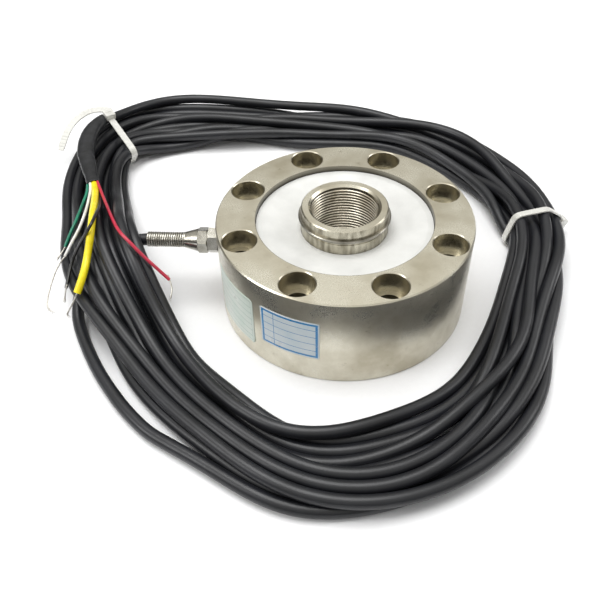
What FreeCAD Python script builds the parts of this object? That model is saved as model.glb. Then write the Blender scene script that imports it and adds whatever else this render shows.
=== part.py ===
import FreeCAD, Part
import math
import os

import Sketcher

Vector = FreeCAD.Vector
Rotation = FreeCAD.Rotation
Placement = FreeCAD.Placement

# A spoke load cell: a steel wheel whose rim is bolted down and whose hub takes the load.
# Frame: +Z up, origin at the centre of the rim's bottom face. Millimetres and degrees.
doc = FreeCAD.newDocument("load_cell")
sheet = doc.addObject("Spreadsheet::Sheet", "dim")

driving_sizes = [
    # rim, from the outside inwards
    ("ring_diameter", 152.0),
    ("ring_height", 60.0),
    ("edge_chamfer", 0.7),
    ("rim_width", 23.4),
    ("recess_depth", 4.5),
    ("ledge_width", 3.6),
    # centre thread, given by its crests, and the hub round it
    ("thread_crest_diameter", 39.8),
    ("thread_mouth_step", 1.5),
    ("boss_wall", 4.1),
    ("boss_rise", 7.5),
    ("foot_step", 0.3),
    ("foot_drop", 1.6),
    ("shoulder_width", 3.2),
    ("hub_shoulder_depth", 8.8),
    ("hub_floor_gap", 2.0),
    # spokes
    ("spoke_count", 4.0),
    ("spoke_inset", 14.0),
    ("spoke_thickness", 16.0),
    ("web_share", 0.31),
    ("web_pocket_share", 0.75),
    ("window_corner_share", 0.2),
    # bolt circle for cap screws sunk in the rim
    ("bolt_count", 8.0),
    ("bolt_edge", 11.5),
    ("bolt_hole", 13.5),
    ("bolt_sink", 20.0),
    ("bolt_sink_depth", 13.0),
    ("bolt_chamfer", 0.5),
    # snap ring in the boss groove
    ("groove_lift", 0.1),
    ("groove_depth", 0.5),
    ("groove_height", 1.9),
    ("snap_ring_rise", 1.7),
    ("fit_gap", 0.05),
    # dished covers
    ("cover_thickness", 0.8),
    ("cover_rim_gap", 0.2),
    ("cover_bore_gap", 0.15),
    # strain gauges, as shares of the pocket that they sit in
    ("gauge_length_share", 0.6),
    ("gauge_width_share", 0.46),
    ("gauge_thickness", 0.3),
    # bridge board and wiring, as shares of the space between hub and rim
    ("board_width", 18.0),
    ("board_tall_share", 1.34),
    ("board_share", 0.08),
    ("pad_width", 14.0),
    ("pad_tall_share", 0.98),
    ("pad_share", 0.12),
    ("harness_diameter", 2.0),
    ("harness_share", 0.2),
    ("core_diameter", 1.6),
    ("core_spacing", 3.0),
    # cable gland, along its own axis outwards from the rim
    ("gland_turn", 176.0),
    ("gland_lift", 10.0),
    ("spot_face_diameter", 17.0),
    ("spot_face_depth", 0.8),
    ("port_gap", 0.5),
    ("port_thread_depth", 12.0),
    ("washer_width", 2.45),
    ("washer_thickness", 1.0),
    ("gland_thread", 10.0),
    ("thread_gap", 0.1),
    ("gland_hex", 14.0),
    ("adapter_turn", 19.0),
    ("adapter_spigot", 10.0),
    ("adapter_hex_length", 6.4),
    ("adapter_nose", 3.6),
    ("nut_turn", 51.0),
    ("nut_hex_length", 6.2),
    ("nut_cone_length", 7.9),
    ("nut_cone_diameter", 14.2),
    ("nut_tip_wall", 1.2),
    ("grommet_length", 5.0),
    ("spring_wall", 1.1),
    ("spring_length", 23.7),
    ("spring_turns", 18.0),
    # cable, end sleeve, cores and ties
    ("cable_diameter", 7.4),
    ("cable_bore_gap", 0.1),
    ("cable_inner_share", 0.25),
    ("lead_reach", 22.0),
    ("sleeve_width", 12.4),
    ("sleeve_thickness", 8.0),
    ("wire_diameter", 2.0),
    ("drain_sleeve_diameter", 4.6),
    ("tie_width", 4.8),
    ("tie_thickness", 1.2),
    ("tie_bite", 0.8),
    ("tie_head_length", 8.0),
    ("tie_head_width", 7.0),
    ("tie_head_height", 5.0),
    ("tie_head_lift", 0.3),
    ("tie_tail_length", 34.0),
]

# Sizes that follow from the ones above.
derived_sizes = [
    ("recess_diameter", "ring_diameter - 2 * rim_width"),
    ("cavity_diameter", "recess_diameter - 2 * ledge_width"),
    ("thread_mouth_diameter", "thread_crest_diameter + 2 * thread_mouth_step"),
    ("boss_diameter", "thread_mouth_diameter + 2 * boss_wall"),
    ("boss_foot_diameter", "boss_diameter + 2 * foot_step"),
    ("hub_diameter", "boss_foot_diameter + 2 * shoulder_width"),
    ("space", "(cavity_diameter - hub_diameter) / 2"),
    ("boss_foot_height", "ring_height - foot_drop"),
    ("groove_base", "ring_height + groove_lift"),
    ("spoke_height", "ring_height - 2 * spoke_inset"),
    ("web_thickness", "spoke_thickness * web_share"),
    ("web_pocket_diameter", "space * web_pocket_share"),
    ("window_corner", "space * window_corner_share"),
    ("gauge_length", "web_pocket_diameter * gauge_length_share"),
    ("gauge_width", "web_pocket_diameter * gauge_width_share"),
    ("pad_thickness", "space * pad_share"),
    ("board_thickness", "space * board_share"),
    ("harness_circle", "cavity_diameter - 2 * space * harness_share"),
    ("bolt_circle", "ring_diameter - 2 * bolt_edge"),
    ("gland_height", "ring_height / 2 + gland_lift"),
    ("headroom", "ring_height - hub_shoulder_depth - gland_height"),
    ("board_tall", "headroom * board_tall_share"),
    ("pad_tall", "headroom * pad_tall_share"),
    ("port_diameter", "cable_diameter + 2 * port_gap"),
    ("port_thread_diameter", "gland_thread + 2 * thread_gap"),
    ("washer_diameter", "port_thread_diameter + 2 * washer_width"),
    ("nut_tip_diameter", "cable_diameter + 2 * nut_tip_wall"),
    ("spring_diameter", "cable_diameter + 2 * spring_wall"),
    ("cable_inner_end", "cavity_diameter - 2 * space * cable_inner_share"),
]

for row, (alias, value) in enumerate(driving_sizes, start=1):
    sheet.set(f"A{row}", alias)
    sheet.set(f"B{row}", str(value))
    sheet.setAlias(f"B{row}", alias)
for row, (alias, formula) in enumerate(derived_sizes, start=len(driving_sizes) + 2):
    sheet.set(f"A{row}", alias)
    sheet.set(f"B{row}", "=" + formula)
    sheet.setAlias(f"B{row}", alias)
doc.recompute()


def size(alias):
    """The value that the sheet holds under this alias."""
    return float(getattr(sheet, alias))


# Every finished sub-part is listed here by its label and written out at the end.
sub_parts = []


def finish(part, label, placement=None):
    """Give a sub-part its label and place, and list it."""
    part.Label = label
    if placement is not None:
        part.Placement = placement
    sub_parts.append(part)
    return part


def new_body(name):
    return doc.addObject("PartDesign::Body", name)


def new_sketch(body, name, role, turn=0.0, lift="0", out="0"):
    """A sketch on one of the body's own planes, turned about the body's Z axis.

    lift moves it along the plane's own upright, out along its normal.
    """
    plane = [item for item in body.Origin.OriginFeatures if item.Role == role][0]
    sketch = body.newObject("Sketcher::SketchObject", name)
    sketch.AttachmentSupport = [(plane, "")]
    sketch.MapMode = "FlatFace"
    upright = Vector(0, 0, 1) if role == "XY_Plane" else Vector(0, 1, 0)
    rotation = Rotation(upright, turn)
    normal = rotation.multVec(Vector(0, 0, 1))
    rise = float(sheet.evalExpression(lift))
    step = float(sheet.evalExpression(out))
    offset = normal * step
    if role != "XY_Plane":
        offset = offset + Vector(0, rise, 0)
    sketch.AttachmentOffset = Placement(offset, rotation)
    if lift != "0":
        sketch.setExpression("AttachmentOffset.Base.y", lift)
    return sketch


def place_vertex(sketch, index, x_text, y_text):
    """Hold the start of edge index at two distances read from the sheet."""
    for kind, axis, text in (("DistanceX", -2, x_text), ("DistanceY", -1, y_text)):
        value = float(sheet.evalExpression(text))
        if abs(value) < 1e-9:
            sketch.addConstraint(Sketcher.Constraint("PointOnObject", index, 1, axis))
            continue
        number = sketch.addConstraint(Sketcher.Constraint(kind, -1, 1, index, 1, value))
        sketch.setExpression(f"Constraints[{number}]", text)


def outline(sketch, vertices):
    """A closed outline of straight edges through vertices given as sheet expressions."""
    points = [
        Vector(float(sheet.evalExpression(x)), float(sheet.evalExpression(y)), 0)
        for x, y in vertices
    ]
    count = len(points)
    for index in range(count):
        following = points[(index + 1) % count]
        sketch.addGeometry(Part.LineSegment(points[index], following), False)
    for index in range(count):
        joint = Sketcher.Constraint("Coincident", index, 2, (index + 1) % count, 1)
        sketch.addConstraint(joint)
    for index, (x_text, y_text) in enumerate(vertices):
        place_vertex(sketch, index, x_text, y_text)


def round_mark(sketch, radius_text, x_text="0", y_text="0"):
    """A circle whose radius and centre are read from the sheet."""
    centre = Vector(float(sheet.evalExpression(x_text)), float(sheet.evalExpression(y_text)), 0)
    radius = float(sheet.evalExpression(radius_text))
    index = sketch.addGeometry(Part.Circle(centre, Vector(0, 0, 1), radius), False)
    number = sketch.addConstraint(Sketcher.Constraint("Radius", index, radius))
    sketch.setExpression(f"Constraints[{number}]", radius_text)
    for kind, axis, text, value in (
        ("DistanceX", -2, x_text, centre.x),
        ("DistanceY", -1, y_text, centre.y),
    ):
        if abs(value) < 1e-9:
            sketch.addConstraint(Sketcher.Constraint("PointOnObject", index, 3, axis))
            continue
        number = sketch.addConstraint(Sketcher.Constraint(kind, -1, 1, index, 3, value))
        sketch.setExpression(f"Constraints[{number}]", text)


def revolve(body, name, vertices, kind="PartDesign::Revolution", axis="V_Axis", **where):
    """Turn an outline about an axis of its sketch, adding or cutting."""
    sketch = new_sketch(body, name + "_outline", "XZ_Plane", **where)
    outline(sketch, vertices)
    doc.recompute()
    feature = body.newObject(kind, name)
    feature.Profile = (sketch, [""])
    feature.ReferenceAxis = (sketch, [axis])
    feature.Angle = 360
    doc.recompute()
    return feature


def pattern_round(body, name, originals, count_text):
    """Repeat features evenly about the body's Z axis."""
    axis = [item for item in body.Origin.OriginFeatures if item.Role == "Z_Axis"][0]
    pattern = body.newObject("PartDesign::PolarPattern", name)
    pattern.Originals = originals
    pattern.Axis = (axis, [""])
    pattern.Angle = 360
    pattern.setExpression("Occurrences", count_text)
    body.Tip = pattern
    doc.recompute()
    return pattern


def check_cut(body, before, what):
    """Stop if a cut took nothing away, and give the new volume."""
    after = body.Shape.Volume
    if after > before - 1.0:
        raise RuntimeError(f"{what} cut nothing")
    return after


# The cell's own parts are drawn with the gland towards +X and then turned together.
cell_turn = Placement(Vector(0, 0, 0), Rotation(Vector(0, 0, 1), size("gland_turn")))

# Levels and radii that several parts share, written once as expressions.
mid_height = "dim.ring_height / 2"
spoke_top = f"({mid_height} + dim.spoke_height / 2)"
spoke_bottom = f"({mid_height} - dim.spoke_height / 2)"
top_ledge = "(dim.ring_height - dim.recess_depth)"
top_shoulder = "(dim.ring_height - dim.hub_shoulder_depth)"
boss_top = "(dim.ring_height + dim.boss_rise)"
mouth_step = "dim.thread_mouth_step"


def make_spoke_body():
    """The one-piece wheel: rim, four spokes and threaded hub, all machined from one blank."""
    body = new_body("spoke_body")
    rim = "dim.ring_diameter / 2"
    crest = "dim.thread_crest_diameter / 2"
    mouth = "dim.thread_mouth_diameter / 2"
    boss = "dim.boss_diameter / 2"
    foot = "dim.boss_foot_diameter / 2"
    groove = "(dim.boss_diameter / 2 - dim.groove_depth)"
    groove_top = "(dim.groove_base + dim.groove_height)"
    recess = "dim.recess_diameter / 2"
    cavity = "dim.cavity_diameter / 2"
    hub = "dim.hub_diameter / 2"
    chamfer = "dim.edge_chamfer"
    revolve(body, "blank", [
        (f"{crest}", f"dim.hub_floor_gap + {mouth_step}"),
        (f"{mouth}", "dim.hub_floor_gap"),
        (f"{foot}", "dim.hub_floor_gap"),
        (f"{foot}", "dim.hub_shoulder_depth"),
        (f"{hub}", "dim.hub_shoulder_depth"),
        (f"{hub}", spoke_bottom),
        (f"{cavity}", spoke_bottom),
        (f"{cavity}", "dim.recess_depth"),
        (f"{recess}", "dim.recess_depth"),
        (f"{recess}", "0"),
        (f"{rim} - {chamfer}", "0"),
        (f"{rim}", chamfer),
        (f"{rim}", f"dim.ring_height - {chamfer}"),
        (f"{rim} - {chamfer}", "dim.ring_height"),
        (f"{recess}", "dim.ring_height"),
        (f"{recess}", top_ledge),
        (f"{cavity}", top_ledge),
        (f"{cavity}", spoke_top),
        (f"{hub}", spoke_top),
        (f"{hub}", top_shoulder),
        (f"{foot}", top_shoulder),
        (f"{foot}", "dim.boss_foot_height"),
        (f"{boss}", "dim.boss_foot_height"),
        (f"{boss}", "dim.groove_base"),
        (f"{groove}", "dim.groove_base"),
        (f"{groove}", groove_top),
        (f"{boss}", groove_top),
        (f"{boss}", f"{boss_top} - {chamfer}"),
        (f"{boss} - {chamfer}", boss_top),
        (f"{mouth}", boss_top),
        (f"{crest}", f"{boss_top} - {mouth_step}"),
    ])
    volume = body.Shape.Volume

    # The windows between the spokes: a sector whose straight sides keep the spokes parallel.
    half = "(dim.spoke_thickness / 2)"
    root2 = "sqrt(2)"
    far = f"sqrt(({cavity})^2 - {half}^2)"
    near = f"sqrt(({hub})^2 - {half}^2)"
    window = new_sketch(body, "window_outline", "XY_Plane")
    outline_window(window, far, near, half, root2, cavity, hub)
    doc.recompute()
    cut = body.newObject("PartDesign::Pocket", "window")
    cut.Profile = (window, [""])
    cut.Type = "ThroughAll"
    cut.Midplane = True
    doc.recompute()
    windows = pattern_round(body, "windows", [cut], "dim.spoke_count")
    volume = check_cut(body, volume, "windows")

    # Round the upright corners of the windows.
    tall = size("spoke_height")
    corners = [
        f"Edge{number}"
        for number, edge in enumerate(windows.Shape.Edges, start=1)
        if len(edge.Vertexes) == 2
        and edge.BoundBox.XLength < 1e-6
        and edge.BoundBox.YLength < 1e-6
        and abs(edge.BoundBox.ZLength - tall) < 1e-6
    ]
    rounds = body.newObject("PartDesign::Fillet", "window_rounds")
    rounds.Base = (windows, corners)
    rounds.setExpression("Radius", "dim.window_corner")
    doc.recompute()
    volume = body.Shape.Volume

    # A round blind pocket in each side of each spoke leaves the thin web for the gauges.
    sides = []
    for name, sign, reverse in (("web_left", "", True), ("web_right", "-", False)):
        sketch = new_sketch(body, name + "_outline", "XZ_Plane", turn=45.0,
                            out=f"{sign}dim.web_thickness / 2")
        middle = "(dim.cavity_diameter + dim.hub_diameter) / 4"
        round_mark(sketch, "dim.web_pocket_diameter / 2", middle, mid_height)
        doc.recompute()
        side = body.newObject("PartDesign::Pocket", name)
        side.Profile = (sketch, [""])
        side.Type = "Length"
        side.Reversed = reverse
        side.setExpression("Length", "(dim.spoke_thickness - dim.web_thickness) / 2 + 1")
        doc.recompute()
        volume = check_cut(body, volume, name)
        sides.append(side)
    pattern_round(body, "web_pockets", sides, "dim.spoke_count")
    volume = check_cut(body, volume, "web pockets")

    # One sunk bolt hole, turned about its own upright line, then repeated round the rim.
    place = "dim.bolt_circle / 2"
    small = "dim.bolt_hole / 2"
    large = "dim.bolt_sink / 2"
    sink_floor = "(dim.ring_height - dim.bolt_sink_depth)"
    bevel = "dim.bolt_chamfer"
    sketch = new_sketch(body, "bolt_outline", "XZ_Plane", turn=180.0 / size("bolt_count"))
    outline(sketch, [
        (place, "-1"),
        (f"{place} + {small} + {bevel} + 1", "-1"),
        (f"{place} + {small}", bevel),
        (f"{place} + {small}", sink_floor),
        (f"{place} + {large}", sink_floor),
        (f"{place} + {large}", f"dim.ring_height - {bevel}"),
        (f"{place} + {large} + {bevel} + 1", "dim.ring_height + 1"),
        (place, "dim.ring_height + 1"),
    ])
    centre_line = Part.LineSegment(Vector(size("bolt_circle") / 2, 0, 0),
                                   Vector(size("bolt_circle") / 2, 10, 0))
    line = sketch.addGeometry(centre_line, True)
    sketch.addConstraint(Sketcher.Constraint("Coincident", line, 1, 0, 1))
    sketch.addConstraint(Sketcher.Constraint("PointOnObject", line, 2, 7))
    doc.recompute()
    hole = body.newObject("PartDesign::Groove", "bolt_hole")
    hole.Profile = (sketch, [""])
    hole.ReferenceAxis = (sketch, ["Axis0"])
    hole.Angle = 360
    doc.recompute()
    volume = check_cut(body, volume, "bolt hole")
    pattern_round(body, "bolt_holes", [hole], "dim.bolt_count")
    volume = check_cut(body, volume, "bolt holes")

    # The gland port: cable bore, tapped part and spot face, turned about the gland's axis.
    seat = "(dim.ring_diameter / 2 - dim.spot_face_depth)"
    bore = "dim.port_diameter / 2"
    tapped = "dim.port_thread_diameter / 2"
    spot = "dim.spot_face_diameter / 2"
    port = revolve(body, "gland_port", [
        (f"{cavity} - 3", "0"),
        (f"{cavity} - 3", bore),
        (f"{seat} - dim.port_thread_depth", bore),
        (f"{seat} - dim.port_thread_depth", tapped),
        (seat, tapped),
        (seat, spot),
        (f"{seat} + 4", spot),
        (f"{seat} + 4", "0"),
    ], kind="PartDesign::Groove", axis="H_Axis", lift="dim.gland_height")
    body.Tip = port
    check_cut(body, volume, "gland port")
    return finish(body, "spoke_body", cell_turn)


def outline_window(sketch, far, near, half, root2, cavity, hub):
    """Outer arc, straight side, inner arc, straight side, about the +X direction."""
    corners = []
    for reach, sign in ((far, -1), (far, 1), (near, 1), (near, -1)):
        x_text = f"({reach} + {half}) / {root2}"
        y_text = f"({reach} - {half}) / {root2}"
        x_value = float(sheet.evalExpression(x_text))
        y_value = sign * float(sheet.evalExpression(y_text))
        corners.append((x_text, f"{sign} * {y_text}", Vector(x_value, y_value, 0)))
    outer_mid = Vector(float(sheet.evalExpression(cavity)), 0, 0)
    inner_mid = Vector(float(sheet.evalExpression(hub)), 0, 0)
    first, second, third, fourth = [corner[2] for corner in corners]
    sketch.addGeometry(Part.Arc(first, outer_mid, second), False)
    sketch.addGeometry(Part.LineSegment(second, third), False)
    sketch.addGeometry(Part.Arc(fourth, inner_mid, third), False)
    sketch.addGeometry(Part.LineSegment(fourth, first), False)
    for one, one_end, two, two_end in ((0, 2, 1, 1), (1, 2, 2, 2), (2, 1, 3, 1), (3, 2, 0, 1)):
        sketch.addConstraint(Sketcher.Constraint("Coincident", one, one_end, two, two_end))
    for arc in (0, 2):
        sketch.addConstraint(Sketcher.Constraint("Coincident", arc, 3, -1, 1))
    ends = ((0, 1, corners[0]), (0, 2, corners[1]), (2, 2, corners[2]), (2, 1, corners[3]))
    for edge, end, corner in ends:
        number = sketch.addConstraint(
            Sketcher.Constraint("DistanceX", -1, 1, edge, end, corner[2].x))
        sketch.setExpression(f"Constraints[{number}]", corner[0])
    for arc, text in ((0, cavity), (2, hub)):
        value = float(sheet.evalExpression(text))
        number = sketch.addConstraint(Sketcher.Constraint("Radius", arc, value))
        sketch.setExpression(f"Constraints[{number}]", text)


def make_cover(label, upper):
    """A thin dished ring that closes one side of the spoke cavity and seats on two ledges."""
    bore = "dim.boss_foot_diameter / 2 + dim.cover_bore_gap"
    hub = "dim.hub_diameter / 2"
    cavity = "dim.cavity_diameter / 2"
    rim = "dim.recess_diameter / 2 - dim.cover_rim_gap"
    if upper:
        low, high = top_shoulder, top_ledge
        wall = "+ dim.cover_thickness"
    else:
        low, high = "dim.hub_shoulder_depth", "dim.recess_depth"
        wall = "- dim.cover_thickness"
    body = new_body(label)
    revolve(body, label + "_disc", [
        (bore, low),
        (hub, low),
        (cavity, high),
        (rim, high),
        (rim, f"{high} {wall}"),
        (cavity, f"{high} {wall}"),
        (hub, f"{low} {wall}"),
        (bore, f"{low} {wall}"),
    ])
    return finish(body, label, Placement(Vector(0, 0, 0), Rotation()))


def make_snap_ring():
    """The round-edged ring in the boss groove above the cover."""
    inner = "(dim.boss_diameter / 2 - dim.groove_depth + dim.fit_gap)"
    outer = "(dim.boss_diameter / 2 + dim.snap_ring_rise)"
    low = "(dim.groove_base + dim.fit_gap)"
    high = "(dim.groove_base + dim.groove_height - dim.fit_gap)"
    soft = "dim.groove_height / 4"
    body = new_body("boss_snap_ring")
    revolve(body, "snap_ring_turn", [
        (inner, low),
        (f"{outer} - {soft}", low),
        (outer, f"{low} + {soft}"),
        (outer, f"{high} - {soft}"),
        (f"{outer} - {soft}", high),
        (inner, high),
    ])
    return finish(body, "boss_snap_ring", cell_turn)


def turned_about_z(distance_out, sideways, height, angle):
    """A place in the row frame: out from the centre along angle, then sideways to its left."""
    radians = math.radians(angle)
    return Vector(
        distance_out * math.cos(radians) - sideways * math.sin(radians),
        distance_out * math.sin(radians) + sideways * math.cos(radians),
        height,
    )


def make_box(label, sizes, centre, angle):
    """A block with sheet-bound sides, centred on a place and turned about Z."""
    block = doc.addObject("Part::Box", label)
    for side, text in zip(("Length", "Width", "Height"), sizes):
        block.setExpression(side, text)
    doc.recompute()
    rotation = Rotation(Vector(0, 0, 1), angle)
    half = Vector(block.Length.Value / 2, block.Width.Value / 2, block.Height.Value / 2)
    return finish(block, label, Placement(centre - rotation.multVec(half), rotation))


def make_strain_gauges():
    """Two foil gauges on each web, one on each face."""
    middle = (size("cavity_diameter") + size("hub_diameter")) / 4
    aside = (size("web_thickness") + size("gauge_thickness")) / 2
    number = 0
    for spoke in range(int(size("spoke_count"))):
        angle = size("gland_turn") + 45 + spoke * 360 / size("spoke_count")
        for side in (-1, 1):
            number += 1
            centre = turned_about_z(middle, side * aside, size("ring_height") / 2, angle)
            make_box(f"strain_gauge_{number}",
                     ("dim.gauge_length", "dim.gauge_thickness", "dim.gauge_width"),
                     centre, angle)


def make_bridge_board():
    """The small terminal board, held to the hub by a foam pad behind the gland port."""
    angle = size("gland_turn")
    hub = size("hub_diameter") / 2
    level = size("gland_height")
    pad_centre = turned_about_z(hub, 0, level, angle)
    blank = doc.addObject("Part::Box", "pad_blank")
    blank.setExpression("Length", "dim.pad_thickness * 2")
    blank.setExpression("Width", "dim.pad_width")
    blank.setExpression("Height", "dim.pad_tall")
    doc.recompute()
    rotation = Rotation(Vector(0, 0, 1), angle)
    half = Vector(blank.Length.Value / 2, blank.Width.Value / 2, blank.Height.Value / 2)
    blank.Placement = Placement(pad_centre - rotation.multVec(half), rotation)
    hub_round = doc.addObject("Part::Cylinder", "pad_hollow")
    hub_round.setExpression("Radius", "dim.hub_diameter / 2")
    hub_round.setExpression("Height", "dim.ring_height")
    pad = doc.addObject("Part::Cut", "board_pad")
    pad.Base = blank
    pad.Tool = hub_round
    doc.recompute()
    finish(pad, "board_pad")
    face = hub + size("pad_thickness")
    board_centre = turned_about_z(face + size("board_thickness") / 2, 0, level, angle)
    make_box("bridge_board", ("dim.board_thickness", "dim.board_width", "dim.board_tall"),
             board_centre, angle)
    return face + size("board_thickness")


def make_wiring(board_face):
    """The harness ring under the spokes, and the cores from the cable to the board."""
    ring = doc.addObject("Part::Torus", "gauge_harness")
    ring.setExpression("Radius1", "dim.harness_circle / 2")
    ring.setExpression("Radius2", "dim.harness_diameter / 2")
    level = (size("ring_height") - size("spoke_height") - size("harness_diameter")) / 2
    finish(ring, "gauge_harness", Placement(Vector(0, 0, level), Rotation()))
    reach = size("cable_inner_end") / 2 - board_face
    number = 0
    for across in (-0.5, 0.5):
        for up in (-0.5, 0.5):
            number += 1
            core = doc.addObject("Part::Cylinder", f"inner_core_{number}")
            core.setExpression("Radius", "dim.core_diameter / 2")
            core.Height = reach
            start = turned_about_z(board_face, across * size("core_spacing"),
                                   size("gland_height") + up * size("core_spacing"),
                                   size("gland_turn"))
            finish(core, f"inner_core_{number}", Placement(start, gland_direction()))


def gland_direction():
    """Turns the local Z axis to point outwards along the gland."""
    level = Rotation(Vector(0, 0, 1), Vector(1, 0, 0))
    return Rotation(Vector(0, 0, 1), size("gland_turn")).multiply(level)


def gland_place(distance_out):
    """The frame on the gland's axis at this distance from the cell's centre line."""
    base = turned_about_z(distance_out, 0, size("gland_height"), size("gland_turn"))
    return Placement(base, gland_direction())


def hex_collar(name, height_text, turn):
    """A hexagon with its corners turned off at both ends."""
    prism = doc.addObject("Part::Prism", name + "_hexagon")
    prism.Polygon = 6
    prism.setExpression("Circumradius", "dim.gland_hex / sqrt(3)")
    prism.setExpression("Height", height_text)
    prism.Placement = Placement(Vector(0, 0, 0), Rotation(Vector(0, 0, 1), turn))
    round_off = new_body(name + "_round")
    corner = "dim.gland_hex / sqrt(3)"
    flat = "(dim.gland_hex / 2 - 0.2)"
    drop = f"({corner} - {flat}) * 0.45"
    revolve(round_off, name + "_cone", [
        ("0", "0"),
        (flat, "0"),
        (corner, drop),
        (corner, f"{height_text} - {drop}"),
        (flat, height_text),
        ("0", height_text),
    ])
    collar = doc.addObject("Part::Common", name + "_collar")
    collar.Base = prism
    collar.Tool = round_off
    doc.recompute()
    return collar


def tube_blank(name, outer_text, height_text, base_text="0"):
    """A plain cylinder on the local Z axis, starting at base_text."""
    blank = doc.addObject("Part::Cylinder", name)
    blank.setExpression("Radius", outer_text)
    blank.setExpression("Height", height_text)
    blank.setExpression("Placement.Base.z", base_text)
    return blank


def make_gland():
    """Washer, screwed adapter, clamping nut, rubber grommet and bend spring."""
    cable = "(dim.cable_diameter / 2 + dim.cable_bore_gap)"
    seat = size("ring_diameter") / 2 - size("spot_face_depth")

    washer = new_body("gland_washer")
    revolve(washer, "washer_turn", [
        ("dim.gland_thread / 2 + dim.fit_gap", "0"),
        ("dim.washer_diameter / 2", "0"),
        ("dim.washer_diameter / 2", "dim.washer_thickness"),
        ("dim.gland_thread / 2 + dim.fit_gap", "dim.washer_thickness"),
    ])
    finish(washer, "gland_washer", gland_place(seat))

    adapter_seat = seat + size("washer_thickness")
    collar = hex_collar("adapter", "dim.adapter_hex_length", size("adapter_turn"))
    stem_length = "dim.adapter_spigot + dim.adapter_hex_length + dim.adapter_nose"
    stem = tube_blank("adapter_stem", "dim.gland_thread / 2", stem_length, "-dim.adapter_spigot")
    solid = doc.addObject("Part::Fuse", "adapter_solid")
    solid.Base = collar
    solid.Tool = stem
    bore = tube_blank("adapter_bore", cable, f"{stem_length} + 2", "-dim.adapter_spigot - 1")
    adapter = doc.addObject("Part::Cut", "gland_adapter")
    adapter.Base = solid
    adapter.Tool = bore
    doc.recompute()
    finish(adapter, "gland_adapter", gland_place(adapter_seat))

    nut_seat = adapter_seat + size("adapter_hex_length")
    collar = hex_collar("nut", "dim.nut_hex_length", size("nut_turn"))
    cone = doc.addObject("Part::Cone", "nut_cone")
    cone.setExpression("Radius1", "dim.nut_cone_diameter / 2")
    cone.setExpression("Radius2", "dim.nut_tip_diameter / 2")
    cone.setExpression("Height", "dim.nut_cone_length")
    cone.setExpression("Placement.Base.z", "dim.nut_hex_length")
    solid = doc.addObject("Part::Fuse", "nut_solid")
    solid.Base = collar
    solid.Tool = cone
    chamber = tube_blank("nut_chamber", "dim.gland_thread / 2 + dim.fit_gap",
                         "dim.adapter_nose + dim.grommet_length + 1", "-1")
    bore = tube_blank("nut_bore", cable, "dim.nut_hex_length + dim.nut_cone_length + 2", "-1")
    hollow = doc.addObject("Part::Fuse", "nut_hollow")
    hollow.Base = chamber
    hollow.Tool = bore
    nut = doc.addObject("Part::Cut", "gland_nut")
    nut.Base = solid
    nut.Tool = hollow
    doc.recompute()
    finish(nut, "gland_nut", gland_place(nut_seat))

    grommet = new_body("gland_grommet")
    revolve(grommet, "grommet_turn", [
        ("dim.cable_diameter / 2 + dim.fit_gap", "0"),
        ("dim.gland_thread / 2", "0"),
        ("dim.gland_thread / 2", "dim.grommet_length"),
        ("dim.cable_diameter / 2 + dim.fit_gap", "dim.grommet_length"),
    ])
    finish(grommet, "gland_grommet", gland_place(nut_seat + size("adapter_nose")))

    spring_seat = nut_seat + size("nut_hex_length") + size("nut_cone_length")
    make_spring(spring_seat)
    return spring_seat + size("spring_length")


def make_spring(spring_seat):
    """The close-wound bend spring: its turns touch, so it is one ribbed sleeve."""
    turns = int(size("spring_turns"))
    pitch = "dim.spring_length / dim.spring_turns"
    crown = "dim.spring_diameter / 2"
    valley = f"(dim.spring_diameter / 2 - {pitch} / 2)"
    vertices = [
        ("dim.cable_diameter / 2 + dim.fit_gap", "0"),
        (valley, "0"),
    ]
    for turn in range(turns):
        vertices.append((crown, f"{pitch} * {turn + 0.5}"))
        vertices.append((valley, f"{pitch} * {turn + 1}"))
    vertices.append(("dim.cable_diameter / 2 + dim.fit_gap", "dim.spring_length"))
    spring = new_body("bend_spring")
    revolve(spring, "spring_turn", vertices)
    finish(spring, "bend_spring", gland_place(spring_seat))


def rounded_path(points):
    """Straight runs joined by tangent arcs, each as large as its two runs allow."""
    edges = []
    radii = []
    start = points[0]
    for index in range(1, len(points) - 1):
        before = points[index] - points[index - 1]
        after = points[index + 1] - points[index]
        shorter = min(before.Length, after.Length)
        half_turn = before.getAngle(after) / 2
        reach = 0.45 * shorter
        radius = reach / math.tan(half_turn)
        enter = points[index] - before.normalize() * reach
        leave = points[index] + after.normalize() * reach
        inward = (leave - points[index]) + (enter - points[index])
        inward.normalize()
        bulge = points[index] + inward * (radius / math.cos(half_turn) - radius)
        edges.append(Part.LineSegment(start, enter).toShape())
        edges.append(Part.Arc(enter, bulge, leave).toShape())
        radii.append(radius)
        start = leave
    edges.append(Part.LineSegment(start, points[-1]).toShape())
    return Part.Wire(edges), radii


def sweep(label, points, section):
    """Carry a closed section, drawn at the first point, along the rounded path."""
    path, radii = rounded_path(points)
    solid = path.makePipeShell([section], True, False)
    area = Part.Face(section).Area
    ratio = solid.Volume / (area * path.Length)
    rounded = ", ".join(f"{radius:.1f}" for radius in radii)
    print(f"{label}: length {path.Length:.1f}, radii {rounded}, volume ratio {ratio:.4f}")
    part = doc.addObject("Part::Feature", label)
    part.Shape = solid
    return part


def circle_at(points, diameter):
    """A circular section square to the first run."""
    direction = (points[1] - points[0]).normalize()
    circle = Part.Circle(points[0], direction, diameter / 2)
    return Part.Wire([circle.toShape()])


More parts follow.
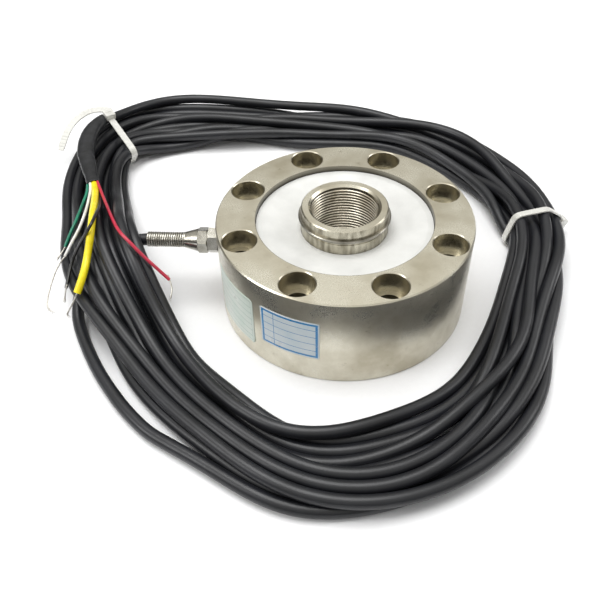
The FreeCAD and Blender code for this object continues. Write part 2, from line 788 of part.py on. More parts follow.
# Stations of the coiled bundle, anticlockwise from the left tie seen from above:
# outer edge, inner edge and thickness. At the gland it climbs over the cable's first stretch.
reach_when_drawn = 120.4
left_tie = ((-188, 196, 16.5), (-155, 149, 13.5), 22)
right_tie = ((150, 52, 13), (111, 41, 13), 21)
coil_stations = [
    left_tie,
    ((-205, 117, 13), (-153, 104, 16), 21),
    ((-198, 82, 12), (-141, 58, 25), 21),
    ((-186, 46, 12), (-126, 8, 38), 20),
    ((-178, 13, 11), (-116, -12, 30), 19),
    ((-170, -16, 9), (-105, -30, 18), 17),
    ((-146, -68, 9), (-84, -68, 9), 17),
    ((-99, -123, 8.5), (-50, -102, 8.5), 16),
    ((-26, -166, 8.5), (-16, -111, 8.5), 16),
    ((54, -152, 8.5), (31, -96, 8.5), 16),
    ((100, -107, 8.5), (60, -74, 8.5), 16),
    ((136, -22, 10), (95, -18, 10), 18),
    right_tie,
    ((148, 108, 12.5), (103, 84, 12.5), 22),
    ((105, 176, 13.5), (56, 149, 13.5), 24),
    ((22, 214, 14), (5, 160, 14), 25),
    ((-74, 232, 17), (-70, 163, 14.5), 26),
    ((-154, 231, 19), (-130, 155, 14), 26),
]


def moved(point):
    """A chosen point of the cable, kept clear of the gland if the cell grows or shrinks."""
    growth = gland_reach() - reach_when_drawn
    outward = Vector(point[0], point[1], 0).normalize()
    return Vector(*point) + outward * growth


def gland_reach():
    """How far the end of the bend spring is from the cell's centre line."""
    seat = size("ring_diameter") / 2 - size("spot_face_depth")
    stack = ("washer_thickness", "adapter_hex_length", "nut_hex_length", "nut_cone_length",
             "spring_length")
    return seat + sum(size(alias) for alias in stack)


def station_frame(station):
    """Centre, half width, half thickness and axes of one section of the bundle."""
    outer, inner, thickness = station
    outer = moved(outer)
    inner = moved(inner)
    across = outer - inner
    half_width = across.Length / 2
    across.normalize()
    along = Vector(0, 0, 1).cross(across).normalize()
    upward = across.cross(along).normalize()
    centre = (outer + inner) * 0.5
    rotation = Rotation(across, upward, along, "ZXY")
    return centre, half_width, thickness / 2, rotation, across, upward, along


def through(points):
    """Poles of the closed, even cubic spline that passes through a ring of points."""
    poles = list(points)
    count = len(points)
    for _ in range(40):
        for index in range(count):
            beside = poles[index - 1] + poles[(index + 1) % count]
            poles[index] = (points[index] * 6 - beside) * 0.25
    return poles


def make_coil():
    """The outer shape of the tied coil: elliptical stations joined into one closed ring."""
    round_count = 12
    rings = []
    for station in coil_stations:
        centre, half_width, half_height, _, across, upward, _ = station_frame(station)
        ring = []
        for step in range(round_count):
            angle = 2 * math.pi * step / round_count
            ring.append(centre + across * (half_width * math.cos(angle))
                        + upward * (half_height * math.sin(angle)))
        rings.append(through(ring))
    lines = [through([ring[step] for ring in rings]) for step in range(round_count)]
    poles = [[line[index] for line in lines] for index in range(len(rings))]
    surface = Part.BSplineSurface()
    surface.buildFromPolesMultsKnots(
        poles,
        [1] * (len(rings) + 1),
        [1] * (round_count + 1),
        list(range(len(rings) + 1)),
        list(range(round_count + 1)),
        True, True, 3, 3,
    )
    part = doc.addObject("Part::Feature", "cable_coil")
    part.Shape = Part.Solid(Part.Shell([surface.toShape()]))
    return finish(part, "cable_coil")


def make_cable(spring_end, coil):
    """The stretch held in the gland, and the free stretch as far as the coil."""
    inner_end = size("cable_inner_end") / 2
    held = doc.addObject("Part::Cylinder", "cable_entry")
    held.setExpression("Radius", "dim.cable_diameter / 2")
    held.Height = spring_end - inner_end
    finish(held, "cable_entry", gland_place(inner_end))
    lead = doc.addObject("Part::Cylinder", "lead_blank")
    lead.setExpression("Radius", "dim.cable_diameter / 2")
    lead.setExpression("Height", "dim.lead_reach")
    lead.Placement = gland_place(spring_end)
    free = doc.addObject("Part::Cut", "cable_lead")
    free.Base = lead
    free.Tool = coil
    doc.recompute()
    print(f"cable_lead: volume {free.Shape.Volume:.1f}, solids {len(free.Shape.Solids)}")
    finish(free, "cable_lead")


# The cable's stripped end rests on the bundle; the points follow its centre line.
sleeve_route = [(-190.5, 161, 32), (-185.4, 131, 30.5), (-178.9, 110, 30.5), (-170.6, 84.5, 32)]
wire_routes = {
    "wire_green": [(-172.3, 57.5, 32), (-174, 43.5, 29.8), (-177.6, 35, 25),
                   (-181.2, 29.6, 18.5)],
    "wire_white": [(-168.3, 62, 33.6), (-167.6, 50.6, 33.8), (-169, 33.3, 31.5),
                   (-174.2, 25.8, 25.5), (-178.9, 19.5, 19)],
    "drain_sleeve": [(-163.8, 60, 34.8), (-160.5, 38, 37.8), (-158.5, 21, 36.8),
                     (-158.5, 7, 32), (-160, -6, 25.5), (-163.2, -17, 20)],
    "wire_black": [(-159.6, 58, 34.4), (-155.3, 40, 42.5), (-155.2, 28, 45), (-156.5, 19, 44),
                   (-161.3, 12.3, 38.8), (-168.5, 12.3, 28), (-172.7, 7, 20),
                   (-173.9, -1, 15.5)],
    "wire_red": [(-156.5, 57, 37), (-146.8, 31.5, 42), (-137.4, 9.1, 46.5), (-128.8, -0.8, 45),
                 (-120, -8.8, 40), (-112.9, -12.4, 34), (-105.5, -17.5, 29)],
}
# Where each core leaves the sleeve's end face: to the right of its centre and up from it.
wire_seats = {
    "wire_green": (-4.8, 0.6),
    "wire_white": (-2.65, 0.6),
    "drain_sleeve": (0.75, 0.0),
    "wire_black": (4.2, -1.2),
    "wire_red": (4.2, 1.3),
}
first_runs = {"wire_black": 12.0, "wire_red": 12.0}
usual_first_run = 10.0


def make_sleeve():
    """The flattened shrink sleeve over the stripped end."""
    route = [moved(point) for point in sleeve_route]
    start = route[0]
    direction = (route[1] - start).normalize()
    across = Vector(0, 0, 1).cross(direction).normalize()
    upward = direction.cross(across).normalize()
    rotation = Rotation(across, upward, direction, "ZXY")
    ellipse = Part.Ellipse(Vector(0, 0, 0), size("sleeve_width") / 2,
                           size("sleeve_thickness") / 2)
    section = Part.Wire([ellipse.toShape()])
    section.Placement = Placement(start, rotation)
    finish(sweep("end_sleeve", route, section), "end_sleeve")


def make_wires():
    """Four cores and the sleeved drain wire, fanned out from the sleeve's end."""
    end = moved(sleeve_route[-1])
    direction = (end - moved(sleeve_route[-2])).normalize()
    rightward = Vector(0, 0, 1).cross(direction).normalize()
    upward = direction.cross(rightward).normalize()
    for label, route in wire_routes.items():
        sideways, up = wire_seats[label]
        seat = end + rightward * sideways + upward * up
        ahead = seat + direction * first_runs.get(label, usual_first_run)
        points = [seat, ahead] + [moved(point) for point in route]
        if label == "drain_sleeve":
            diameter = size("drain_sleeve_diameter")
        else:
            diameter = size("wire_diameter")
        finish(sweep(label, points, circle_at(points, diameter)), label)


def make_tie(label, station, head_angle, tail_to, coil):
    """A moulded tie: strap round the bundle, ratchet head and free tail, in one piece."""
    centre, half_width, half_height, rotation, across, upward, along = station_frame(station)
    bite = size("tie_bite")
    wall = size("tie_thickness")
    width = size("tie_width")
    loops = []
    for grow in (wall, -bite):
        ellipse = Part.Ellipse(Vector(0, 0, -width / 2), half_width + grow, half_height + grow)
        loops.append(Part.Face(Part.Wire([ellipse.toShape()])).extrude(Vector(0, 0, width)))
    strap = loops[0].cut(loops[1])
    angle = math.radians(head_angle)
    foot = Vector(half_width * math.cos(angle), half_height * math.sin(angle), 0)
    normal = Vector(math.cos(angle) / half_width, math.sin(angle) / half_height, 0)
    normal.normalize()
    length = size("tie_head_length")
    head = Part.makeBox(length, size("tie_head_height"), size("tie_head_width"))
    head.translate(Vector(-length / 2, 0, -size("tie_head_width") / 2))
    tilt = math.degrees(math.atan2(normal.y, normal.x)) - 90
    lift = size("tie_head_lift")
    head.Placement = Placement(foot + normal * lift, Rotation(Vector(0, 0, 1), tilt)).multiply(
        head.Placement)
    tie = strap.fuse(head)
    tie.Placement = Placement(centre, rotation)
    if tail_to is not None:
        middle = foot + normal * (lift + size("tie_head_height") / 2)
        root = Placement(centre, rotation).multVec(middle)
        direction = (moved(tail_to) - root).normalize()
        side = direction.cross(Vector(0, 0, 1)).normalize()
        rise = side.cross(direction).normalize()
        tail = Part.makeBox(size("tie_tail_length"), width, wall)
        tail.translate(Vector(0, -width / 2, -wall / 2))
        tail.Placement = Placement(root, Rotation(direction, side * -1, rise, "XZY")).multiply(
            tail.Placement)
        tie = tie.fuse(tail)
    # The strap is drawn tight, so it takes the bundle's own shape on the inside.
    tie = tie.cut(coil.Shape).removeSplitter()
    part = doc.addObject("Part::Feature", label)
    part.Shape = tie
    finish(part, label)


make_spoke_body()
make_cover("top_cover", upper=True)
make_cover("bottom_cover", upper=False)
make_snap_ring()
make_strain_gauges()
board_face = make_bridge_board()
make_wiring(board_face)
spring_end = make_gland()
coil = make_coil()
make_cable(spring_end, coil)
make_sleeve()
make_wires()
make_tie("cable_tie_left", left_tie, 42.0, (-216, 172, 12), coil)
make_tie("cable_tie_right", right_tie, -8.0, None, coil)
doc.recompute()

# Nothing is written unless every object and every sub-part is sound.
faults = [item.Name for item in doc.Objects if {"Invalid", "Error"} & set(item.State)]
for part in sub_parts:
    if part.Shape.isNull() or not part.Shape.isValid():
        faults.append(part.Label)
if faults:
    raise RuntimeError("failed: " + ", ".join(faults))

os.makedirs("parts", exist_ok=True)
for part in sub_parts:
    part.Shape.exportStep(f"parts/{part.Label}.step")
print(f"{len(sub_parts)} sub-parts written")
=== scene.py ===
import math

import bpy
import numpy as np
from mathutils import Matrix


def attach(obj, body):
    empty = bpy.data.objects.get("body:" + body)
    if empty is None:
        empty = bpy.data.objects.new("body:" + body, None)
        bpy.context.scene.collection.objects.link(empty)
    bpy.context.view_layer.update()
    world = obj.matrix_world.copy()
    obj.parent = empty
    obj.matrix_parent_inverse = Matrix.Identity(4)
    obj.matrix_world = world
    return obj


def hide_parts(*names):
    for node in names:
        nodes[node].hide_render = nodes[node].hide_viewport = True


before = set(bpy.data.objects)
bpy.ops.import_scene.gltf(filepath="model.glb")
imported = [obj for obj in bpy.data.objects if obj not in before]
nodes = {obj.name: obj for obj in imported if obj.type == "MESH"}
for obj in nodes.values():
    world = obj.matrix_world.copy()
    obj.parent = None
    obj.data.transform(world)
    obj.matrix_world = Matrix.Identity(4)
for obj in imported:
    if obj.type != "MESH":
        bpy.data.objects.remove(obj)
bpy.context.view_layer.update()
scene = bpy.context.scene
print("frame loaded:", len(nodes), "CAD nodes")


# Camera: its place and direction as worked out from the photo's own ellipses
cameraSettings = {
    "position": (-0.027545, -0.332707, 0.312028),
    "downAngle": 43.85,
    "roll": -1.573,
    "lens": 42.314,
    "sensor": 36.0,
}


def putAt(item, side, up, back, place):
    # the item's three axes and its place, one column each of its matrix
    turned = Matrix.Identity(4)
    for row in range(3):
        turned[row] = (side[row], up[row], back[row], place[row])
    scene.collection.objects.link(item)
    item.matrix_world = turned


def placeCamera(s):
    # forward = (0, cos, -sin) of the down angle; right and up are turned about it by the roll
    down, roll = math.radians(s["downAngle"]), math.radians(s["roll"])
    forward = np.array([0, math.cos(down), -math.sin(down)])
    flatUp = np.array([0, math.sin(down), math.cos(down)])
    flatRight = np.array([1.0, 0, 0])
    right = math.cos(roll) * flatRight + math.sin(roll) * flatUp
    up = math.cos(roll) * flatUp - math.sin(roll) * flatRight
    data = bpy.data.cameras.new("camera")
    data.lens = s["lens"]
    data.sensor_width = s["sensor"]
    data.clip_start = 0.01
    data.clip_end = 20
    data.dof.use_dof = False
    camera = bpy.data.objects.new("camera", data)
    putAt(camera, right, up, -forward, s["position"])
    scene.camera = camera


placeCamera(cameraSettings)
scene.view_settings.view_transform = "Standard"
print("camera placed")


# Shared helpers for curves and surfaces

def unit(v):
    # v / |v| for each row
    return v / np.maximum(np.linalg.norm(v, axis=-1, keepdims=True), 1e-12)


def lengthsAlong(points):
    # running length: sum of the distances between neighbouring points
    steps = np.linalg.norm(np.diff(points, axis=0), axis=1)
    return np.concatenate([[0.0], np.cumsum(steps)])


def readAt(points, at):
    # linear reading of each coordinate at the given running lengths
    along = lengthsAlong(points)
    return np.stack([np.interp(at, along, points[:, i]) for i in range(3)], 1)


def routeCurve(name, points, thickness=0.0, perSpan=4, sides=6):
    # one open NURBS spline of order 3 on these control points, as round as the thickness says
    data = bpy.data.curves.new(name, "CURVE")
    data.dimensions = "3D"
    spline = data.splines.new("NURBS")
    spline.points.add(len(points) - 1)
    flat = np.ones((len(points), 4))
    flat[:, :3] = points
    spline.points.foreach_set("co", flat.ravel())
    spline.points.foreach_set("radius", np.full(len(points), thickness / 2))
    spline.order_u = 3
    spline.use_endpoint_u = True
    spline.resolution_u = perSpan
    spline.use_smooth = True
    data.resolution_u = perSpan
    data.render_resolution_u = perSpan
    data.bevel_depth = 1.0 if thickness > 0 else 0.0
    data.bevel_resolution = sides
    data.use_fill_caps = thickness > 0
    item = bpy.data.objects.new(name, data)
    scene.collection.objects.link(item)
    return item


def routePoints(points, perSpan=12):
    # the points that the NURBS spline on this route passes through
    item = routeCurve("route", points, 0.0, perSpan)
    mesh = bpy.data.meshes.new_from_object(item)
    flat = np.zeros(len(mesh.vertices) * 3)
    mesh.vertices.foreach_get("co", flat)
    data = item.data
    bpy.data.objects.remove(item)
    bpy.data.curves.remove(data)
    bpy.data.meshes.remove(mesh)
    return flat.reshape(-1, 3)


def gridFaces(rows, columns, start=0, around=True):
    # corner numbers of each four-sided face in a grid, with the last column joined to the first
    r = np.arange(rows - 1)[:, None]
    c = np.arange(columns if around else columns - 1)[None, :]
    nextC = (c + 1) % columns
    quad = [r * columns + c, r * columns + nextC, (r + 1) * columns + nextC, (r + 1) * columns + c]
    return np.stack([q.ravel() for q in quad], 1) + start


def surfacePiece(name, grids, around=True, caps=True, smooth=True):
    # one mesh from several grids of points (rows, columns, 3), with their ends filled as fans
    allPoints, allFaces, start = [], [], 0
    for grid in grids:
        rows, columns = grid.shape[:2]
        allPoints.append(grid.reshape(-1, 3))
        allFaces += gridFaces(rows, columns, start, around).tolist()
        if around and caps:
            allFaces.append(list(range(start + columns - 1, start - 1, -1)))
            last = start + (rows - 1) * columns
            allFaces.append(list(range(last, last + columns)))
        start += rows * columns
    mesh = bpy.data.meshes.new(name)
    mesh.from_pydata(np.concatenate(allPoints).tolist(), [], allFaces)
    mesh.update()
    mesh.polygons.foreach_set("use_smooth", np.full(len(mesh.polygons), smooth))
    item = bpy.data.objects.new(name, mesh)
    scene.collection.objects.link(item)
    return item


def steadyFrames(points, reference):
    # side = tangent x reference and lift = side x tangent, so that a section doesn't twist
    tangent = unit(np.gradient(points, axis=0))
    side = unit(np.cross(tangent, np.asarray(reference, float)[None, :]))
    return side, np.cross(side, tangent), tangent


def tubeGrid(points, radii, sides, reference=(0.13, 0.21, 0.97)):
    # circle of the given radius round each point of the path
    side, lift, _ = steadyFrames(points, reference)
    turn = np.linspace(0, 2 * np.pi, sides, endpoint=False)
    ring = side[:, None] * np.cos(turn)[None, :, None] + lift[:, None] * np.sin(turn)[None, :, None]
    return points[:, None] + ring * np.asarray(radii).reshape(-1, 1, 1)


def addPiece(item, slotName, *stoodFor):
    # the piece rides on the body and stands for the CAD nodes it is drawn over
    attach(item, "root")
    if stoodFor:
        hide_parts(*stoodFor)
    return item


# Bundled cable: eleven turns laid side by side and on top of one another, held by two ties
coilSettings = {
    "diameter": 0.0074,
    "turns": 11,
    "firstStation": 7.2,
    "lastStation": 197.1,
    "spacing": 0.006,       # between the points that are pushed
    "rounds": 620,
    "room": 0.0075,         # between the middles of neighbours
    "nearby": 0.0135,       # how far off a pair is still watched
    "pointSpacing": 0.013,  # between control points
    "endSpacing": 0.008,    # the same near the two ends
    "endLength": 0.06,
    "liftSpread": 0.042,    # reach of the rise over the lead
    "liftRoom": 0.012,
    "looseGap": 0.0155,     # room kept for the loose strand
    "slack": 0.0006,        # past the bundle's outline
    "strapLift": 0.0017,    # under each tie
    "rightTie": 12,         # station of the right tie; the left one is at 0
    "weight": 0.00002,
    "homePull": (0.010, 0.003),
    "fairing": 0.4,
    "outlinePower": 4,
}

# Outer edge, inner edge and thickness of the bundle round its loop, in metres, from the left tie
stations = np.array([
    (-0.188, 0.196, 0.0165, -0.155, 0.149, 0.0135, 0.022),
    (-0.205, 0.117, 0.013, -0.153, 0.104, 0.016, 0.021),
    (-0.198, 0.082, 0.012, -0.141, 0.058, 0.025, 0.021),
    (-0.186, 0.046, 0.012, -0.126, 0.008, 0.038, 0.020),
    (-0.178, 0.013, 0.011, -0.116, -0.012, 0.030, 0.019),
    (-0.170, -0.016, 0.009, -0.105, -0.030, 0.018, 0.017),
    (-0.146, -0.068, 0.009, -0.084, -0.068, 0.009, 0.017),
    (-0.099, -0.123, 0.0085, -0.050, -0.102, 0.0085, 0.016),
    (-0.026, -0.166, 0.0085, -0.016, -0.111, 0.0085, 0.016),
    (0.054, -0.152, 0.0085, 0.031, -0.096, 0.0085, 0.016),
    (0.100, -0.107, 0.0085, 0.060, -0.074, 0.0085, 0.016),
    (0.136, -0.022, 0.010, 0.095, -0.018, 0.010, 0.018),
    (0.150, 0.052, 0.013, 0.111, 0.041, 0.013, 0.021),
    (0.148, 0.108, 0.0125, 0.103, 0.084, 0.0125, 0.022),
    (0.105, 0.176, 0.0135, 0.056, 0.149, 0.0135, 0.024),
    (0.022, 0.214, 0.014, 0.005, 0.160, 0.014, 0.025),
    (-0.074, 0.232, 0.017, -0.070, 0.163, 0.0145, 0.026),
    (-0.154, 0.231, 0.019, -0.130, 0.155, 0.014, 0.026),
])
stationCount = len(stations)

# Where each of the eleven ranks lies across the bundle (-1 inner, 1 outer) and in which layer
flatLay = ((-1, -0.83, -0.667, -0.333, -0.17, 0, 0.333, 0.5, 0.667, 0.83, 1),
           (-1, 1, -1, -1, 1, -1, -1, 1, -1, 1, -1))
risingLay = ((-1, -0.8, -0.6, -0.4, -0.2, 0, 0.2, 0.4, 0.6, 0.8, 1),
             (-0.4, 0.5, -0.4, 0.5, -0.5, 0.4, -0.4, 0.5, -0.4, 0.4, -0.5))
looseLay = ((-1, -0.8, -0.6, -0.2, 0, 0.2, 0.6, 0.4, 1.0, 0.8, 1.0),
            (-1, 1, -1, -1, 1, -1, -1, 1, -1, 1, -1))
backLay = ((-1, -0.80, -0.60, -0.40, -0.19, 0.03, 0.25, 0.48, 0.70, 0.88, 1.02),
           (-0.8, -0.3, -0.8, -0.2, -0.7, -0.1, -0.6, 0.2, -0.4, 0.4, 0.1))
splitLay = ((-1, -0.84, -0.68, -0.36, 0.28, 0.10, 0.42, 0.58, 0.72, 0.86, 1.02),
            (-1, 1, -1, -1, 1, -1, -1, 1, -1, 1, -1))
tightLay = ((-1, -0.75, -0.4, -0.5, -0.25, 0, 0.3, 0.25, 0.5, 0.75, 1),
            (-1, 0, 1, -1, 0, -1, 1, 0, -1, 0, -1))
layKeys = (
    (0.0, flatLay), (1.6, flatLay), (3.2, risingLay), (4.4, risingLay), (5.8, looseLay),
    (7.2, looseLay), (8.6, splitLay), (9.5, splitLay), (10.4, flatLay), (11.6, tightLay),
    (12.4, tightLay), (13.8, flatLay), (15.4, backLay), (17.2, backLay), (18.0, flatLay),
)

# Rank of each turn from the left tie on, with the cable's end as the last one
turnRanks = (10, 9, 7, 8, 5, 3, 4, 1, 0, 2, 6, 10)

# Rank that each rank changes to half way round, where neighbours cross
crossedRanks = (1, 0, 2, 5, 3, 4, 6, 9, 7, 8, 10)

# The cable from the gland's spring down under the bundle and out as the loose strand at its edge,
# and from the bundle up to the sleeve
leadRoute = np.array([
    (-0.1201, 0.0084, 0.0400), (-0.1280, 0.0088, 0.0396), (-0.1380, 0.0088, 0.0370),
    (-0.1472, 0.0075, 0.0318), (-0.1556, 0.0040, 0.0246), (-0.1622, -0.0022, 0.0172),
    (-0.1658, -0.0105, 0.0110), (-0.1662, -0.0190, 0.0066), (-0.1640, -0.0280, 0.0044),
    (-0.1567, -0.0440, 0.00375), (-0.1456, -0.0654, 0.00375),
    (-0.1339, -0.0826, 0.00375), (-0.1233, -0.0968, 0.00375), (-0.1027, -0.1182, 0.00375),
])
tailRoute = np.array([
    (-0.1610, 0.2090, 0.0205), (-0.1715, 0.1965, 0.0215), (-0.1790, 0.1845, 0.0245),
    (-0.1832, 0.1740, 0.0285), (-0.1835, 0.1650, 0.0305),
])


def loopAt(values, t):
    # Catmull-Rom through the rows of the table, which joins on to itself
    t = np.asarray(t) % len(values)
    i = np.floor(t).astype(int)
    f = (t - i)[:, None]
    a, b, c, d = [values[(i + k) % len(values)] for k in (-1, 0, 1, 2)]
    return 0.5 * (2 * b + (c - a) * f + (2 * a - 5 * b + 4 * c - d) * f**2 + (3 * b - a - 3 * c + d) * f**3)


def sectionAt(t):
    # middle, direction outwards, direction upwards, half width and half thickness of the bundle
    row = loopAt(stations, t)
    outer, inner, thick = row[:, :3], row[:, 3:6], row[:, 6]
    across = outer - inner
    half = np.linalg.norm(across, axis=1) / 2
    across = across / (2 * half[:, None])
    along = unit(np.stack([-across[:, 1], across[:, 0], 0 * half], 1))
    return (outer + inner) / 2, across, np.cross(across, along), half, thick / 2


def eased(f):
    # 3f^2 - 2f^3 between 0 and 1
    f = np.clip(f, 0, 1)
    return f * f * (3 - 2 * f)


def layAt(rank, station, which):
    # the table's value at this rank, eased from one key station to the next
    keys = np.array([key for key, _ in layKeys])
    rank = np.broadcast_to(rank, station.shape)
    table = np.array([np.interp(rank, np.arange(11), lay[which]) for _, lay in layKeys])
    i = np.clip(np.searchsorted(keys, station, "right") - 1, 0, len(keys) - 2)
    f = eased((station - keys[i]) / (keys[i + 1] - keys[i]))
    each = np.arange(len(station))
    return table[i, each] * (1 - f) + table[i + 1, each] * f


def homeLines(t):
    # place across and in height of each point: its turn's rank, changed for the next one at the back
    across, height = np.zeros(len(t)), np.zeros(len(t))
    lap = np.floor(t / stationCount).astype(int)
    for turn in range(coilSettings["turns"]):
        mine = lap == turn
        station = t[mine] - turn * stationCount
        first, after = turnRanks[turn], turnRanks[turn + 1]
        cross = eased((station - 9.2 - 0.5 * math.sin(1.7 * turn)) / 2.4)
        before = first + (crossedRanks[first] - first) * cross
        middle = 15.4 + 0.9 * math.sin(2.4 * turn + 0.6)
        f = eased((station - middle + 2.3) / 4.6)
        for which, out in ((0, across), (1, height)):
            value = (1 - f) * layAt(before, station, which) + f * layAt(after, station, which)
            out[mine] = value
        height[mine] += math.copysign(0.9, after - crossedRanks[first]) * np.sin(np.pi * f)
        height[mine] += 0.8 * np.sign(crossedRanks[first] - first) * np.sin(np.pi * cross)
        wave = np.sin(0.93 * station + 2.1 * turn) + 0.7 * np.sin(1.71 * station + 1.3 * turn * turn)
        across[mine] += 0.035 * wave
    return across, height


def softened(points, steps):
    # corner cutting: each span gives points at a quarter and three quarters of it
    for _ in range(steps):
        inner = np.stack([0.75 * points[:-1] + 0.25 * points[1:], 0.25 * points[:-1] + 0.75 * points[1:]], 1)
        points = np.concatenate([points[:1], inner.reshape(-1, 3), points[-1:]])
    return points


def evenly(points, spacing):
    # points at equal running lengths
    whole = lengthsAlong(points)[-1]
    return readAt(points, np.linspace(0, whole, max(2, int(round(whole / spacing)) + 1)))


def bellCurve(sigma):
    # e^(-x^2 / 2 sigma^2), summing to 1
    x = np.arange(-int(3 * sigma), int(3 * sigma) + 1)
    g = np.exp(-x**2 / (2 * sigma**2))
    return g / g.sum()


def spreadAlong(push, weights):
    # the push on each point shared with its neighbours along the cable, as a stiff cable does
    m = len(weights) // 2
    return np.stack([np.convolve(np.pad(push[:, i], m, mode="edge"), weights, "valid") for i in range(3)], 1)


def closePairs(points, reach):
    # pairs of points nearer than the reach that aren't neighbours along the cable
    small = points.astype(np.float32)
    found = []
    for start in range(0, len(points), 400):
        gap = ((small[start:start + 400, None, :] - small[None, :, :])**2).sum(-1)
        i, j = np.nonzero(gap < reach**2)
        i = i + start
        apart = j > i + 5
        found.append(np.stack([i[apart], j[apart]], 1))
    return np.concatenate(found).T


def bundleAt(t, s):
    # the section, drawn in on its outer side where the first turn lies loose beside it
    middle, outwards, upwards, half, thick = sectionAt(t)
    station = t % stationCount
    narrow = s["looseGap"] * eased((station - 4.5) / 0.9) * (1 - eased((station - 6.9) / 1.1))
    narrow = np.where(t > stationCount, narrow, 0) / 2
    return middle - outwards * narrow[:, None], outwards, upwards, half - narrow, thick


def startLines(s):
    # station of each point at equal steps along the turns, and its place in the bundle's section
    radius = s["diameter"] / 2
    fine = np.linspace(0, stationCount, 1441)
    arc = lengthsAlong(sectionAt(fine)[0])
    whole = arc[-1]
    ends = []
    for station in (s["firstStation"], s["lastStation"]):
        lap = math.floor(station / stationCount)
        ends.append(lap * whole + np.interp(station - lap * stationCount, fine, arc))
    run = np.linspace(ends[0], ends[1], int((ends[1] - ends[0]) / s["spacing"]))
    laps = np.floor(run / whole)
    t = np.interp(run - laps * whole, arc, fine) + laps * stationCount
    across, height = homeLines(t)
    middle, outwards, upwards, half, thick = bundleAt(t, s)
    room = np.maximum(thick - radius, 0.0005)
    return run, t, middle + outwards * (across * (half - radius))[:, None] + upwards * (height * room)[:, None]


def liftOverLead(coil, run, t, lead, s):
    # each turn that crosses over the lead is lifted on to it, by its lack of height there
    # times e^(-(distance along it)^2 / 2 spread^2)
    lifted = np.zeros(len(coil), bool)
    rising = lead[lead[:, 2] > 0.0045]
    leadGap = np.linalg.norm(coil[:, None, :2] - rising[None, :, :2], axis=2)
    for turn in range(1, s["turns"]):
        here = np.nonzero((t > turn * stationCount + 1.0) & (t < turn * stationCount + 6.5))[0]
        over = here[leadGap[here].min(1).argmin()]
        lack = rising[leadGap[over].argmin(), 2] + s["diameter"] + 0.0003 - coil[over, 2]
        bell = np.exp(-((run[here] - run[over]) / s["liftSpread"])**2 / 2)
        coil[here, 2] += max(lack, 0) * bell
        lifted[here] = bell > 0.05
    return lifted


def pairPushes(points, i, j, held, s):
    # half of what each pair lacks in distance on each of the two, or all of it next to a held point,
    # divided by the number of neighbours that a point touches
    count = len(points)
    apart = points[i] - points[j]
    gap = np.sqrt((apart**2).sum(1)) + 1e-9
    short = np.maximum(s["room"] - gap, 0)
    push = apart / gap[:, None] * short[:, None]
    onI = push * np.where(held[j], 1.0, 0.5)[:, None]
    onJ = push * np.where(held[i], 1.0, 0.5)[:, None]
    total = np.stack([np.bincount(i, onI[:, a], count) - np.bincount(j, onJ[:, a], count) for a in range(3)], 1)
    hits = short > 0
    touching = np.bincount(i[hits], minlength=count) + np.bincount(j[hits], minlength=count)
    return total / np.maximum(touching, 1)[:, None]


def faired(points, free, s):
    # each free point moves against the change of bend at it, as a stiff cable does
    bend, change = np.zeros_like(points), np.zeros_like(points)
    bend[1:-1] = (points[2:] + points[:-2]) / 2 - points[1:-1]
    change[1:-1] = bend[1:-1] - (bend[2:] + bend[:-2]) / 2
    return points + s["fairing"] * change * free


def layCable(s):
    # each turn starts on its own line in the bundle and is pushed off the others until none overlap
    radius, power = s["diameter"] / 2, s["outlinePower"]
    run, t, coil = startLines(s)
    lead = evenly(softened(leadRoute, 3), s["spacing"])
    tail = evenly(softened(tailRoute, 3), s["spacing"])
    lifted = liftOverLead(coil, run, t, lead, s)
    points = np.concatenate([lead, coil, tail])
    count, leadCount = len(points), len(lead)
    isCoil = np.zeros(count, bool)
    isCoil[leadCount:leadCount + len(coil)] = True
    station = np.concatenate([np.full(leadCount, 4.0), t, np.full(len(tail), t[-1])])
    middle, outwards, upwards, half, thick = bundleAt(station, s)
    roomAcross = half - radius + s["slack"]
    roomUp = np.maximum(thick - radius, 0.0005) + s["slack"]
    roomUp[leadCount:leadCount + len(coil)][lifted] += s["liftRoom"]
    held = np.zeros(count, bool)
    held[:leadCount - 2] = True
    held[-(len(tail) - 3):] = True
    home = points.copy()
    # under each tie the strap's thickness lifts the turns off the floor
    round01 = station % stationCount
    toTie = np.minimum(np.minimum(round01, stationCount - round01), np.abs(round01 - s["rightTie"]))
    ground = radius + 0.00005 + np.where(isCoil, s["strapLift"] * np.exp(-(toTie / 0.45)**2), 0)
    wide, narrow = bellCurve(4.0), bellCurve(2.0)
    free = (~held)[:, None]
    for step in range(s["rounds"]):
        if step % 15 == 0:
            i, j = closePairs(points, s["nearby"])
        total = pairPushes(points, i, j, held, s)
        offset = points - middle
        x, y = (offset * outwards).sum(1), (offset * upwards).sum(1)
        outside = ((x / roomAcross)**power + (y / roomUp)**power)**(1 / power)
        back = np.where((outside > 1) & isCoil, 1 / np.maximum(outside, 1e-9) - 1, 0) * 0.6
        total += outwards * (x * back)[:, None] + upwards * (y * back)[:, None]
        total[:, 2] += np.maximum(ground - points[:, 2], 0)
        total[isCoil, 2] -= s["weight"]
        homeward = s["homePull"][0] if step < s["rounds"] * 0.5 else s["homePull"][1]
        total[isCoil] += homeward * (home[isCoil] - points[isCoil])
        points = points + (spreadAlong(total, wide) + 0.5 * spreadAlong(total, narrow)) * free
        for _ in range(1 if step < s["rounds"] * 0.6 else 4):
            points = faired(points, free, s)
        points[:, 2] = np.maximum(points[:, 2], ground - 0.00003)
    gap = np.sqrt(((points[i] - points[j])**2).sum(1))
    print("cable laid:", count, "points, closest", round(float(gap.min()) * 1000, 2), "mm,",
          int((gap < 0.0065).sum()), "under 6.5 mm")
    return points


